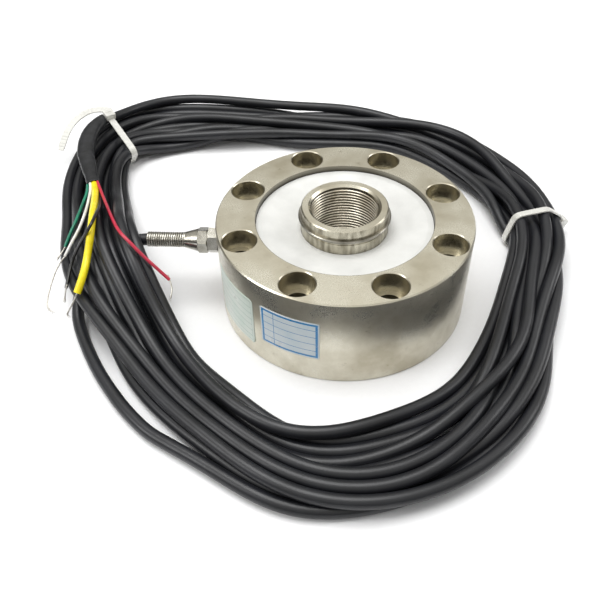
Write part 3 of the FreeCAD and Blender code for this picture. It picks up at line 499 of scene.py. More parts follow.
def cableControls(points, s):
    # control points at equal steps, with shorter steps near both ends
    whole = lengthsAlong(points)[-1]
    first = np.arange(0, s["endLength"], s["endSpacing"])
    last = whole - first[::-1]
    clear = s["endLength"] + 0.004
    between = np.linspace(clear, whole - clear, int((whole - 2 * clear) / s["pointSpacing"]))
    return readAt(points, np.concatenate([first, between, last]))


cableLine = layCable(coilSettings)
controls = cableControls(cableLine, coilSettings)
cable = routeCurve("cable", controls, coilSettings["diameter"], 3, 6)
addPiece(cable, "cable_black", "cable_lead", "cable_coil")


# Shrunk sleeve over the cable's end: it widens from the round cable to a flat mouth of five cores
sleeveRoute = np.array([
    (-0.1812, 0.1788, 0.0272), (-0.1836, 0.1690, 0.0300), (-0.1862, 0.1500, 0.0309),
    (-0.1848, 0.1260, 0.0305), (-0.1780, 0.1060, 0.0305), (-0.1692, 0.0805, 0.0322),
])
sleeveSettings = {
    "startHalf": (0.0044, 0.0041),
    "wideHalf": (0.0060, 0.0039),
    "endHalf": (0.0048, 0.0036),
    "wall": 0.0006,
    "mouthDepth": 0.009,
    "overlapStep": 0.00045,
}


def sleeveGrid(s):
    # superellipse |x/a|^n + |y/b|^n = 1 whose half sizes go from round to flat, then folds in at the mouth
    line = evenly(routePoints(sleeveRoute, 24), 0.0012)
    along = lengthsAlong(line)
    part = along / along[-1]
    grow, close = eased((part - 0.02) / 0.28), eased((part - 0.62) / 0.38)
    a, b = [s["startHalf"][i] + (s["wideHalf"][i] - s["startHalf"][i]) * grow
            + (s["endHalf"][i] - s["wideHalf"][i]) * close for i in (0, 1)]
    # a second shorter sleeve under the first shows as a step near the cable's end
    step = s["overlapStep"] * (1 - eased((part - 0.60) / 0.015))
    lumps = 0.00010 * np.sin(along * 190) + 0.00006 * np.sin(along * 457 + 1.3)
    a, b = a + step + lumps, b + step * 0.8 - lumps
    side, lift, tangent = steadyFrames(line, (0, 0, 1))
    turn = np.linspace(0, 2 * np.pi, 40, endpoint=False)
    c, d = np.cos(turn), np.sin(turn)
    power = (2 / (2 + 0.5 * grow))[:, None]
    x = np.sign(c) * np.abs(c) ** power
    y = np.sign(d) * np.abs(d) ** power
    # the cores inside press shallow flutes into the flat stretch
    flute = 1 - 0.035 * grow[:, None] * (1 + np.cos(turn * 6 + 0.4))[None, :] * 0.5

    def ring(halfA, halfB, base):
        return base[:, None] + side[:, None] * (x * halfA[:, None] * flute)[:, :, None] \
            + lift[:, None] * (y * halfB[:, None] * flute)[:, :, None]

    outside = ring(a, b, line)
    inside = ring(a - s["wall"], b - s["wall"], line)[along > along[-1] - s["mouthDepth"]][::-1]
    lip = outside[-1:] * 0.5 + inside[:1] * 0.5 + tangent[-1] * 0.0003
    closing = inside[-1:].mean(axis=1, keepdims=True) * 0.98 + inside[-1:] * 0.02
    start = outside[:1].mean(axis=1, keepdims=True) * 0.14 + outside[:1] * 0.86
    return np.concatenate([start, outside, lip, inside, closing])


sleeve = surfacePiece("shrunk_sleeve", [sleeveGrid(sleeveSettings)])
addPiece(sleeve, "sleeve_black", "end_sleeve")
print("sleeve made")


# Cores: four insulated wires and a drain wire in a yellow sleeve, each ending in a bare tip
coreSettings = {
    "wire_green": {"route": (
        (-0.1755, 0.0893, 0.0321), (-0.1712, 0.0743, 0.0331), (-0.1723, 0.0575, 0.032),
        (-0.174, 0.0435, 0.0298), (-0.1776, 0.035, 0.025), (-0.1812, 0.0296, 0.0185)),
        "diameter": 0.002, "slot": "wire_green",
        "tip": ((-0.1812, 0.0296, 0.0185), (-0.1832, 0.0264, 0.0165), (-0.1846, 0.0226, 0.0158),
                (-0.185, 0.019, 0.0157))},
    "wire_white": {"route": (
        (-0.1741, 0.0897, 0.033), (-0.1693, 0.0746, 0.034), (-0.1683, 0.062, 0.034),
        (-0.1676, 0.0506, 0.0338), (-0.169, 0.0333, 0.0315), (-0.1742, 0.0258, 0.0255),
        (-0.1789, 0.0195, 0.019)),
        "diameter": 0.002, "slot": "wire_white",
        "tip": ((-0.1789, 0.0195, 0.019), (-0.1826, 0.0131, 0.017), (-0.1844, -0.0017, 0.014),
                (-0.1846, -0.0149, 0.011), (-0.1826, -0.0215, 0.0102), (-0.1781, -0.0243, 0.0105))},
    "drain_sleeve": {"route": (
        (-0.17174, 0.09043, 0.03166), (-0.1668, 0.07524, 0.03256), (-0.1638, 0.06, 0.0348),
        (-0.1605, 0.038, 0.0378), (-0.1585, 0.021, 0.0368), (-0.1585, 0.007, 0.032),
        (-0.16, -0.006, 0.0255), (-0.1632, -0.017, 0.02)),
        "diameter": 0.0046, "slot": "wire_yellow",
        "tip": ((-0.1632, -0.017, 0.02), (-0.165, -0.0215, 0.0172), (-0.1672, -0.0262, 0.015),
                (-0.169, -0.0288, 0.0128), (-0.167, -0.03, 0.0118))},
    "wire_black": {"route": (
        (-0.17, 0.091, 0.0305), (-0.1636, 0.0745, 0.0316), (-0.16, 0.058, 0.035),
        (-0.1553, 0.04, 0.0425), (-0.1552, 0.028, 0.045), (-0.1565, 0.019, 0.044),
        (-0.1613, 0.0123, 0.0388), (-0.1685, 0.0123, 0.028), (-0.1727, 0.007, 0.02),
        (-0.173, -0.0075, 0.0158)),
        "diameter": 0.002, "slot": "wire_black",
        "tip": ((-0.173, -0.0075, 0.0158), (-0.1733, -0.013, 0.0142), (-0.1724, -0.018, 0.013))},
    "wire_red": {"route": (
        (-0.17, 0.091, 0.0329), (-0.1637, 0.0744, 0.0344), (-0.1569, 0.057, 0.0375),
        (-0.1468, 0.0315, 0.042), (-0.1374, 0.0091, 0.0465), (-0.1288, -0.0008, 0.045),
        (-0.12, -0.0088, 0.04), (-0.1129, -0.0124, 0.034), (-0.1055, -0.0175, 0.029)),
        "diameter": 0.002, "slot": "wire_red",
        "tip": ((-0.1055, -0.0175, 0.029), (-0.104, -0.0212, 0.0262), (-0.1042, -0.025, 0.024),
                (-0.1052, -0.0286, 0.0222))},
}
tipSettings = {"strand": 0.00034, "lay": 0.0042, "strands": 6, "bundle": 0.00033, "flare": 0.00045}


def bareTip(name, route, s):
    # fine strands wound round the route at (turn / lay), which open out a little at the very end
    line = evenly(routePoints(np.array(route), 16), 0.0004)
    line = np.concatenate([line[:1] + (line[:1] - line[1:2]) * np.linspace(8, 1, 8)[:, None], line])
    side, lift, _ = steadyFrames(line, (0.32, 0.84, 0.44))
    along = lengthsAlong(line)
    grids = []
    for k in range(s["strands"]):
        angle = 2 * np.pi * (along / s["lay"] + k / s["strands"])
        away = s["bundle"] + s["flare"] * eased((along / along[-1] - 0.7) / 0.3) * (0.5 + 0.5 * math.sin(k * 2.3))
        centre = line + side * (np.cos(angle) * away)[:, None] + lift * (np.sin(angle) * away)[:, None]
        cut = max(12, int(len(line) * (1 - 0.05 * ((k * 5) % 3))))
        grids.append(tubeGrid(centre[:cut], np.full(cut, s["strand"] / 2), 6, (0.32, 0.84, 0.44)))
    return surfacePiece(name, grids)


cableDense = evenly(cableLine, 0.0015)
cameraPlace = np.array(cameraSettings["position"])


def laidOn(route, diameter, fixed, below, belowDiameter):
    # each point goes towards the camera by the height that its stretch lacks over the cord below,
    # height = cord + sqrt(R^2 - distance^2), so that it keeps its place in the picture
    route = np.array(route)
    reach = (belowDiameter + diameter) / 2 + 0.0002
    for _ in range(3):
        line = evenly(routePoints(route), 0.0015)
        away = np.linalg.norm(line[:, None, :2] - below[None, :, :2], axis=2)
        top = below[None, :, 2] + np.sqrt(np.maximum(reach**2 - away**2, 0))
        top = np.where((away < reach) & (below[None, :, 2] < line[:, None, 2] + 0.012), top, -1).max(1)
        lack = np.maximum(top - line[:, 2], 0)
        gap = np.linalg.norm(route[:, None] - line[None], axis=2)
        lift = (lack[None] * np.exp(-(gap / 0.010)**2)).max(1)
        lift[:fixed] = 0
        toCamera = cameraPlace - route
        route = route + toCamera * (lift / toCamera[:, 2])[:, None]
    return route


cores = {}
for coreName, core in coreSettings.items():
    route = laidOn(core["route"], core["diameter"], 2, cableDense, coilSettings["diameter"])
    if coreName == "wire_black":
        drain = coreSettings["drain_sleeve"]
        route = laidOn(route, core["diameter"], 3, evenly(drain["laid"], 0.001), drain["diameter"])
    core["laid"] = routePoints(route)
    core["tip"] = laidOn(core["tip"], 0.0012, 0, cableDense, coilSettings["diameter"])
    core["tip"][0] = route[-1]
    wire = routeCurve(coreName + "_run", route, core["diameter"], 10, 5)
    tip = bareTip(coreName + "_tip", core["tip"], tipSettings)
    addPiece(wire, core["slot"], coreName)
    addPiece(tip, "spring_steel")
    wireLength = float(lengthsAlong(routePoints(route))[-1])
    cores[coreName] = (wire, tip)
    print("core:", coreName, round(wireLength, 4), "m")


# Bend spring: round wire wound close on the cable where it leaves the gland
springSettings = {"from": 0.0964, "to": 0.1204, "height": 0.040, "bearing": 176.0,
                  "wire": 0.00122, "outer": 0.0096, "turns": 18, "perTurn": 28}


def bendSpring(s):
    # helix: radius (outer - wire) / 2, one turn forward for each pitch, the end turns lying flat
    bearing = math.radians(s["bearing"])
    axis = np.array([math.cos(bearing), math.sin(bearing), 0])
    ends = np.array([axis * s["from"], axis * s["to"]]) + np.array([0, 0, s["height"]])
    line = routePoints(np.array([ends[0], ends.mean(0), ends[1]]), 20)
    sideways = np.cross(axis, (0, 0, 1))
    count = s["turns"] * s["perTurn"]
    part = np.linspace(0, 1, count)
    turns = part * s["turns"]
    inset = s["wire"] / 2 / (s["to"] - s["from"])
    forward = np.clip((turns - 0.6) / (s["turns"] - 1.2), 0, 1) * (1 - 2 * inset) + inset
    whole = lengthsAlong(line)[-1]
    centre = readAt(line, forward * whole)
    radius = (s["outer"] - s["wire"]) / 2 - 0.00012 * np.sin(np.pi * part)
    angle = 2 * np.pi * turns
    out = np.cos(angle)[:, None] * sideways + np.sin(angle)[:, None] * np.array([0, 0, 1.0])
    path = centre + out * np.reshape(radius, (-1, 1))
    turn = np.linspace(0, 2 * np.pi, 10, endpoint=False)
    ring = out[:, None] * np.cos(turn)[None, :, None] + axis * np.sin(turn)[None, :, None]
    return surfacePiece("bend_spring_wire", [path[:, None] + ring * (s["wire"] / 2)])


bendSpringWire = bendSpring(springSettings)
addPiece(bendSpringWire, "spring_steel", "bend_spring")
print("spring made")


# Thread in the through hole: M42 x 2, a 60 degree ridge wound inside the plain bore
threadSettings = {"bore": 0.01990, "depth": 0.00050, "pitch": 0.002, "low": 0.0025, "high": 0.0668, "perTurn": 88}


def innerThread(s):
    # ridge section carried along the helix z = low + pitch * turns, fading out at both ends
    turns = (s["high"] - s["low"] - s["pitch"]) / s["pitch"]
    count = int(turns * s["perTurn"])
    angle = np.linspace(0, turns * 2 * np.pi, count)
    fade = eased(angle / 2.5) * eased((angle[-1] - angle) / 2.5)
    rise = np.array([-0.36, -0.30, -0.11, 0.11, 0.30, 0.36]) * s["pitch"]
    depth = np.array([-0.3, 0.0, 1.0, 1.0, 0.0, -0.3]) * s["depth"]
    radius = s["bore"] - depth[None, :] * fade[:, None]
    z = s["low"] + s["pitch"] * (0.5 + angle / (2 * np.pi))[:, None] + rise[None, :]
    grid = np.stack([radius * np.cos(angle)[:, None], radius * np.sin(angle)[:, None], z], 2)
    return surfacePiece("centre_thread", [grid[:, ::-1]], around=False, caps=False, smooth=False)


centreThread = innerThread(threadSettings)
addPiece(centreThread, "nickel_steel")
print("thread made")


# Labels: two thin sheets stuck round the ring's side, bare apart from their printed frames
labelSettings = {
    "label_left": {"bearings": (-165.4, -135.2), "heights": (0.0100, 0.0440), "corner": 0.0022, "lift": 0.0005},
    "label_front": {"bearings": (-130.7, -103.4), "heights": (0.0175, 0.0450), "corner": 0.0010, "lift": 0.0003},
}
ringRadius = 0.076


def labelSheet(name, s):
    # sheet bent to the ring's radius: superellipse outline, its edge folded back on to the metal
    half = math.radians((s["bearings"][1] - s["bearings"][0]) / 2) * ringRadius
    tall = (s["heights"][1] - s["heights"][0]) / 2
    mid = math.radians(sum(s["bearings"]) / 2)
    midZ = sum(s["heights"]) / 2
    rings, around = 26, 120
    turn = np.linspace(0, 2 * np.pi, around, endpoint=False)
    # rounded rectangle: corner arcs of the given radius joined by straight sides
    square = np.maximum(np.abs(np.cos(turn)), np.abs(np.sin(turn)))
    x, y = np.cos(turn) / square * half, np.sin(turn) / square * tall
    inX = np.clip(np.abs(x) - (half - s["corner"]), 0, None)
    inY = np.clip(np.abs(y) - (tall - s["corner"]), 0, None)
    over = np.maximum(np.hypot(inX, inY) / s["corner"], 1)
    x = np.sign(x) * (np.abs(x) - inX + inX / over)
    y = np.sign(y) * (np.abs(y) - inY + inY / over)
    scale = np.concatenate([np.linspace(0.02, 1, rings), [1.0]])
    px, py = scale[:, None] * x[None, :], scale[:, None] * y[None, :]
    away = np.full(px.shape, ringRadius + 0.00016)
    away += s["lift"] * eased((px / half - 0.80) / 0.2) * eased((-py / tall - 0.55) / 0.45)
    away += 0.00003 * np.sin(px * 900) * np.sin(py * 700 + 1)
    away[-1] = ringRadius - 0.00002
    angle = mid + px / ringRadius
    grid = np.stack([away * np.cos(angle), away * np.sin(angle), midZ + py], 2)
    return surfacePiece(name, [grid])


labels = {}
for labelName, label in labelSettings.items():
    labels[labelName] = addPiece(labelSheet(labelName, label), "cover_white")
print("labels made")


# Cable ties: a strap drawn tight round the strands, a locking head and a cut tail
tieSettings = {
    "cable_tie_left": {"centre": (-0.1715, 0.1725, 0.0150), "out": (-0.575, 0.818, 0), "band": 0.0052,
                       "thick": 0.0013, "headAt": (0.0092, 0.0120), "reach": 0.034,
                       "tail": ((-0.1770, 0.1870, 0.0310), (-0.1900, 0.1905, 0.0312), (-0.2045, 0.1840, 0.0265),
                                (-0.2115, 0.1690, 0.0210), (-0.2125, 0.1530, 0.0160))},
    "cable_tie_right": {"centre": (0.1305, 0.0465, 0.0130), "out": (0.9625, 0.2714, 0), "band": 0.0048,
                        "thick": 0.0013, "headAt": (0.0240, -0.0030), "reach": 0.027, "tail": None},
}


def outerHull(flat):
    # convex outline: sorted points, dropping each one that turns the wrong way
    flat = flat[np.lexsort((flat[:, 1], flat[:, 0]))]
    sides = []
    for run in (flat, flat[::-1]):
        side = []
        for p in run:
            while len(side) > 1:
                a, b = side[-1] - side[-2], p - side[-1]
                if a[0] * b[1] - a[1] * b[0] > 0:
                    break
                side.pop()
            side.append(p)
        sides += side[:-1]
    return np.array(sides)


def strapLoop(s):
    # outline round the strands' round sections, kept above the floor, at even steps and smoothed
    centre, out = np.array(s["centre"]), unit(np.array(s["out"]))
    along = np.cross((0, 0, 1.0), out)
    offset = cableDense - centre
    near = (np.abs(offset @ along) < 0.003) & (np.abs(offset @ out) < s["reach"])
    turn = np.linspace(0, 2 * np.pi, 24, endpoint=False)
    radius = coilSettings["diameter"] / 2 + 0.0002
    section = np.stack([np.cos(turn), np.sin(turn)], 1) * radius
    flat = np.stack([offset[near] @ out, offset[near, 2]], 1)[:, None] + section[None]
    flat = flat.reshape(-1, 2)
    flat[:, 1] = np.maximum(flat[:, 1], s["thick"] + 0.0001 - centre[2])
    hull = outerHull(flat)
    closed = np.concatenate([hull, hull[:1]])
    closed = np.concatenate([closed, np.zeros((len(closed), 1))], 1)
    loop = readAt(closed, np.linspace(0, lengthsAlong(closed)[-1], 181)[:-1])[:, :2]
    for _ in range(6):
        loop = 0.5 * loop + 0.25 * (np.roll(loop, 1, 0) + np.roll(loop, -1, 0))
    ahead = unit(np.roll(loop, -1, 0) - np.roll(loop, 1, 0))
    return centre, out, along, loop, np.stack([ahead[:, 1], -ahead[:, 0]], 1)


def roundedBar(x, y, corner):
    # outline of a bar with half sizes x and y and rounded corners, as 16 points
    turn = np.linspace(0, 2 * np.pi, 16, endpoint=False) + np.pi / 16
    c, d = np.cos(turn), np.sin(turn)
    return np.stack([np.sign(c) * (x - corner) + corner * c, np.sign(d) * (y - corner) + corner * d], 1)


def stacked(foot, axes, outline, heights, wide, tall):
    # the outline at each height along the third axis, shrunk by its two factors there
    wide, tall, heights = [np.array(v)[:, None, None] for v in (wide, tall, heights)]
    across, tangent, away = axes
    return (foot + away * heights + across * (outline[None, :, :1] * wide)
            + tangent * (outline[None, :, 1:] * tall))


def cableTie(name, s):
    # strap section carried round the loop, head as a rounded block with a slot, tail along its route
    centre, out, along, flat, n = strapLoop(s)
    flat = np.concatenate([flat, flat[:1]])
    n = np.concatenate([n, n[:1]])
    up = np.array([0, 0, 1.0])
    loop = centre + flat[:, :1] * out + flat[:, 1:] * up
    outward = n[:, :1] * out + n[:, 1:] * up
    bar = roundedBar(s["band"] / 2, s["thick"] / 2, 0.00035)
    grids = [loop[:, None] + along * bar[None, :, :1] + outward[:, None] * (bar[None, :, 1:] + s["thick"] / 2)]
    # head: a block with rounded edges, and the hollow sunk in its top
    at = int(np.linalg.norm(flat - np.array(s["headAt"]), axis=1).argmin())
    foot, away = loop[at], outward[at]
    axes = (along, unit(np.cross(along, away)), away)
    block = roundedBar(s["band"] * 0.80, 0.0038, 0.0007)
    shrink = (0.93, 1.0, 1.0, 1.0, 0.97, 0.90, 0.62)
    grids.append(stacked(foot, axes, block, (0.0, 0.0003, 0.0012, 0.0040, 0.0052, 0.0056, 0.0056), shrink, shrink))
    hollow = roundedBar(s["band"] * 0.52, 0.0016, 0.0003)
    grids.append(stacked(foot, axes, hollow, (0.0057, 0.0058, 0.0057), (1.0, 0.95, 0.6), (1.0, 0.9, 0.5)))
    if s["tail"]:
        line = evenly(routePoints(np.array(s["tail"]), 12), 0.0010)
        side, lift, _ = steadyFrames(line, (0.2, -0.35, 0.9))
        taper = np.where(np.linspace(0, 1, len(line)) > 0.96, 0.8, 1.0)
        ridge = 1 + 0.10 * (np.sin(lengthsAlong(line) * 2 * np.pi / 0.0014) > 0)
        grids.append(line[:, None] + side[:, None] * (bar[None, :, :1] * taper[:, None, None])
                     + lift[:, None] * (bar[None, :, 1:] * ridge[:, None, None]))
    return surfacePiece(name + "_strap", grids, smooth=False)


ties = {}
for tieName, tie in tieSettings.items():
    ties[tieName] = addPiece(cableTie(tieName, tie), "tie_nylon", tieName)
print("ties made")


# Materials

def linear(code):
    # sRGB hex to linear light: ((c + 0.055) / 1.055)^2.4, or c / 12.92 below 0.04045
    parts = [int(code[i:i + 2], 16) / 255 for i in (1, 3, 5)]
    return tuple(((c + 0.055) / 1.055) ** 2.4 if c > 0.04045 else c / 12.92 for c in parts) + (1.0,)


def addNode(tree, kind, inputs=None, **settings):
    # a node with its settings, and its sockets filled with values or joined to other sockets
    node = tree.nodes.new(kind)
    for key, value in settings.items():
        setattr(node, key, value)
    for key, value in (inputs or {}).items():
        if isinstance(value, bpy.types.NodeSocket):
            tree.links.new(value, node.inputs[key])
        else:
            node.inputs[key].default_value = value
    return node


def sized(mm):
    # noise scale for features of that many millimetres
    return 1000.0 / mm


def newMaterial(name):
    # an empty node material with its output and shader, and the object coordinates
    material = bpy.data.materials.new(name)
    material.use_nodes = True
    tree = material.node_tree
    tree.nodes.clear()
    shader = addNode(tree, "ShaderNodeBsdfPrincipled")
    addNode(tree, "ShaderNodeOutputMaterial", {"Surface": shader.outputs[0]})
    coordinates = addNode(tree, "ShaderNodeTexCoord").outputs["Object"]
    return material, tree, shader, coordinates


def noise(tree, where, mm, detail=4.0, rough=0.55):
    # fractal noise, about 0.5, with features of that size
    return addNode(tree, "ShaderNodeTexNoise", {"Vector": where, "Scale": sized(mm), "Detail": detail,
                                                "Roughness": rough}).outputs[0]


def ramp(tree, value, low, high, toLow=0.0, toHigh=1.0):
    # (value - low) / (high - low), clamped, then scaled to the new ends
    return addNode(tree, "ShaderNodeMapRange", {"Value": value, "From Min": low, "From Max": high,
                                                "To Min": toLow, "To Max": toHigh}).outputs[0]


def mixColour(tree, factor, first, second):
    # first * (1 - factor) + second * factor
    node = addNode(tree, "ShaderNodeMix", data_type="RGBA")
    for index, value in ((0, factor), (6, first), (7, second)):
        if isinstance(value, bpy.types.NodeSocket):
            tree.links.new(value, node.inputs[index])
        else:
            node.inputs[index].default_value = value
    return node.outputs[2]


def calc(tree, how, first, second=0.0):
    # one arithmetic step on two values
    return addNode(tree, "ShaderNodeMath", {0: first, 1: second}, operation=how).outputs[0]


def times(tree, first, *others):
    # product of all the values
    for other in others:
        first = calc(tree, "MULTIPLY", first, other)
    return first


def bump(tree, height, strength, mm):
    # surface relief from a height of 0 to 1, that many millimetres deep
    return addNode(tree, "ShaderNodeBump", {"Height": height, "Strength": strength,
                                            "Distance": mm / 1000}).outputs[0]


def between(tree, value, low, high):
    # 1 where low < value < high
    return times(tree, calc(tree, "GREATER_THAN", value, low), calc(tree, "LESS_THAN", value, high))


def join(tree, shader, colour, rough, normal):
    # colour, roughness and relief go to the shader
    for name, value in (("Base Color", colour), ("Roughness", rough), ("Normal", normal)):
        tree.links.new(value, shader.inputs[name])


# Tones, ends of the roughness, then size of the patches and grain and depth of the relief, in mm
metalKeys = ("light", "dark", "stain", "rough", "patch", "grain", "relief")
metalSettings = {name: dict(zip(metalKeys, row)) for name, row in {
    "satin_nickel_plate": ("#d9d5c6", "#b5ae9b", "#6b5c42", (0.22, 0.38), 26, 0.35, 0.010),
    "turned_thread_steel": ("#cdc7b9", "#9d9584", "#5c5140", (0.22, 0.36), 9, 0.30, 0.006),
    "spring_ring_steel": ("#a8a59c", "#6f6c64", "#4c473e", (0.24, 0.38), 7, 0.25, 0.006),
    "bright_gland_nickel": ("#bdbbb3", "#908d83", "#7c7768", (0.16, 0.30), 8, 0.30, 0.005),
    "drawn_spring_wire": ("#c6c4bd", "#97948a", "#6b675c", (0.20, 0.34), 4, 0.22, 0.004),
    "tinned_copper": ("#e4e2dd", "#c4beb4", "#b39a80", (0.24, 0.40), 2, 0.20, 0.003),
}.items()}

# Wear, painted shade and painted reflection on the plated body: radii and heights in metres
wearAndShadeSettings = {
    "coverEdge": (0.0515, 0.05285), "coverHeights": (0.0570, 0.0600), "recessShadeTone": "#2b2722",
    "holes": (0.0530, 0.0755), "holeTop": 0.0592, "ringPitch": 0.0009, "ringTone": "#8d8472",
    "boss": (0.0249, 0.0265), "bossTop": 0.0672, "reflectionStreakTone": "#655e4e",
    "threadRadius": 0.0201, "threadRootShadeTone": "#2a251d",
}


def wornAndShadedBody(tree, where, colour, fine, w):
    # painted shade in the corner round the cover, turned rings inside the bolt holes, painted reflection as bright
    # and dull
    # # streaks up the boss, and painted shade in the root between the turns of thread, by radius and height
    x, y, z = addNode(tree, "ShaderNodeSeparateXYZ", {0: where}).outputs
    out = calc(tree, "SQRT", calc(tree, "ADD", times(tree, x, x), times(tree, y, y)))
    # painted shade: the recess wall round the cover is darkened, most towards its foot
    corner = times(tree, between(tree, out, *w["coverEdge"]), ramp(tree, z, *w["coverHeights"], 0.88, 0.55),
                   calc(tree, "GREATER_THAN", z, 0.05))
    colour = mixColour(tree, corner, colour, linear(w["recessShadeTone"]))
    inHoles = times(tree, between(tree, out, *w["holes"]), calc(tree, "LESS_THAN", z, w["holeTop"]))
    rings = calc(tree, "SINE", times(tree, z, 2 * math.pi / w["ringPitch"]))
    colour = mixColour(tree, times(tree, inHoles, ramp(tree, rings, -1, 1, 0.0, 0.22)), colour,
                       linear(w["ringTone"]))
    # painted reflection: dull vertical streaks up the boss's side stand for the room reflected in the turned metal
    spin = addNode(tree, "ShaderNodeCombineXYZ", {0: calc(tree, "DIVIDE", x, out),
                                                  1: calc(tree, "DIVIDE", y, out), 2: times(tree, z, 9.0)})
    reflectionStreak = addNode(tree, "ShaderNodeTexNoise", {"Vector": spin.outputs[0], "Scale": 8.0,
                                                  "Detail": 5.0}).outputs[0]
    onBoss = times(tree, between(tree, out, *w["boss"]), calc(tree, "LESS_THAN", z, w["bossTop"]))
    colour = mixColour(tree, times(tree, onBoss, ramp(tree, reflectionStreak, 0.40, 0.64, 0.05, 0.72)), colour,
                       linear(w["reflectionStreakTone"]))
    # painted shade: the bore between the turns of thread is darkened
    threadRootShade = times(tree, calc(tree, "LESS_THAN", out, w["threadRadius"]), 0.85)
    colour = mixColour(tree, threadRootShade, colour, linear(w["threadRootShadeTone"]))
    return colour, calc(tree, "ADD", fine, times(tree, rings, inHoles, 1.5))


def metal(name, s):
    # two metal tones mixed by broad noise, thin stains at its peaks, finer noise in roughness and relief
    material, tree, shader, where = newMaterial(name)
    broad = noise(tree, where, s["patch"], 5)
    fine = noise(tree, where, s["grain"], 3)
    colour = mixColour(tree, ramp(tree, broad, 0.35, 0.68), linear(s["light"]), linear(s["dark"]))
    spots = ramp(tree, noise(tree, where, s["patch"] * 0.22, 8, 0.7), 0.61, 0.78, 0, 0.6)
    colour = mixColour(tree, spots, colour, linear(s["stain"]))
    relief = fine
    if name == "satin_nickel_plate":
        colour, relief = wornAndShadedBody(tree, where, colour, fine, wearAndShadeSettings)
    shader.inputs["Metallic"].default_value = 1.0
    both = calc(tree, "ADD", times(tree, fine, 0.4), times(tree, broad, 0.6))
    join(tree, shader, colour, ramp(tree, both, 0.3, 0.7, *s["rough"]), bump(tree, relief, 0.6, s["relief"]))
    return material


# The same for what isn't metal, with the weight of its coat and its specular level
plainKeys = ("light", "dark", "rough", "patch", "grain", "relief", "coat", "shine")
plainSettings = {name: dict(zip(plainKeys, row)) for name, row in {
    "white_enamel_cover": ("#d6d6d2", "#cacac6", (0.34, 0.46), 18, 0.8, 0.02, 0.15, 0.5),
    "black_cable_jacket": ("#202125", "#131417", (0.30, 0.46), 30, 0.6, 0.02, 0.0, 0.42),
    "shrunk_black_sleeve": ("#26272a", "#161719", (0.28, 0.42), 6, 0.9, 0.05, 0.0, 0.35),
    "red_core_vinyl": ("#c8304a", "#ad223a", (0.30, 0.42), 9, 0.3, 0.01, 0.1, 0.5),
    "green_core_vinyl": ("#138264", "#0c674f", (0.30, 0.42), 9, 0.3, 0.01, 0.1, 0.5),
    "white_core_vinyl": ("#efeee9", "#d9d7cf", (0.30, 0.42), 9, 0.3, 0.01, 0.1, 0.5),
    "black_core_vinyl": ("#1b1a1a", "#0d0d0d", (0.28, 0.40), 9, 0.3, 0.01, 0.1, 0.5),
    "yellow_core_sleeve": ("#f2e01c", "#e2cb10", (0.32, 0.46), 8, 0.4, 0.02, 0.1, 0.5),
    "black_gland_rubber": ("#222324", "#121313", (0.50, 0.66), 5, 0.4, 0.03, 0.0, 0.5),
    "amber_gauge_foil": ("#c98a35", "#9c6420", (0.30, 0.44), 2, 0.3, 0.01, 0.2, 0.5),
    "green_board_laminate": ("#1d6b3e", "#124c2a", (0.34, 0.48), 5, 0.4, 0.02, 0.2, 0.5),
    "grey_pad_foam": ("#6c6e70", "#505254", (0.80, 0.92), 3, 0.5, 0.15, 0.0, 0.5),
    "grey_harness_vinyl": ("#85878a", "#65676a", (0.40, 0.52), 8, 0.5, 0.02, 0.0, 0.5),
}.items()}


def plain(name, s):
    # two tones mixed by broad noise, roughness by both noises, fine relief
    material, tree, shader, where = newMaterial(name)
    broad = noise(tree, where, s["patch"], 5)
    fine = noise(tree, where, s["grain"], 4)
    colour = mixColour(tree, ramp(tree, broad, 0.35, 0.65), linear(s["light"]), linear(s["dark"]))
    both = calc(tree, "ADD", times(tree, fine, 0.5), times(tree, broad, 0.5))
    join(tree, shader, colour, ramp(tree, both, 0.35, 0.65, *s["rough"]), bump(tree, fine, 0.7, s["relief"]))
    shader.inputs["Specular IOR Level"].default_value = s["shine"]
    shader.inputs["Coat Weight"].default_value = s["coat"]
    shader.inputs["Coat Roughness"].default_value = 0.2
    return material


def tieNylon():
    # milky nylon: light passes through it a little and spreads inside
    material, tree, shader, where = newMaterial("milky_tie_nylon")
    fine = noise(tree, where, 1.2, 4)
    colour = mixColour(tree, ramp(tree, fine, 0.3, 0.7), linear("#dcdbd4"), linear("#cccbc3"))
    join(tree, shader, colour, ramp(tree, fine, 0.3, 0.7, 0.30, 0.44), bump(tree, fine, 0.5, 0.03))
    shader.inputs["Transmission Weight"].default_value = 0.22
    shader.inputs["IOR"].default_value = 1.5
    return material


labelPrint = {
    "label_left": {"paper": "#cfd6cd", "tint": "#c0cfc4", "ink": "#8fa89b", "inset": 0.0016, "line": 0.0003,
                   "rows": (0.0150, 0.0195, 0.0240, 0.0285, 0.0330, 0.0375), "columns": ()},
    "label_front": {"paper": "#cbd2d4", "tint": "#bccad0", "ink": "#1c7ab4", "inset": 0.0009, "line": 0.0013,
                    "rows": (0.0235, 0.0288, 0.0341, 0.0394), "columns": (-0.0092,)},
}
ruleHalf = 0.00018  # half the width of a ruled line


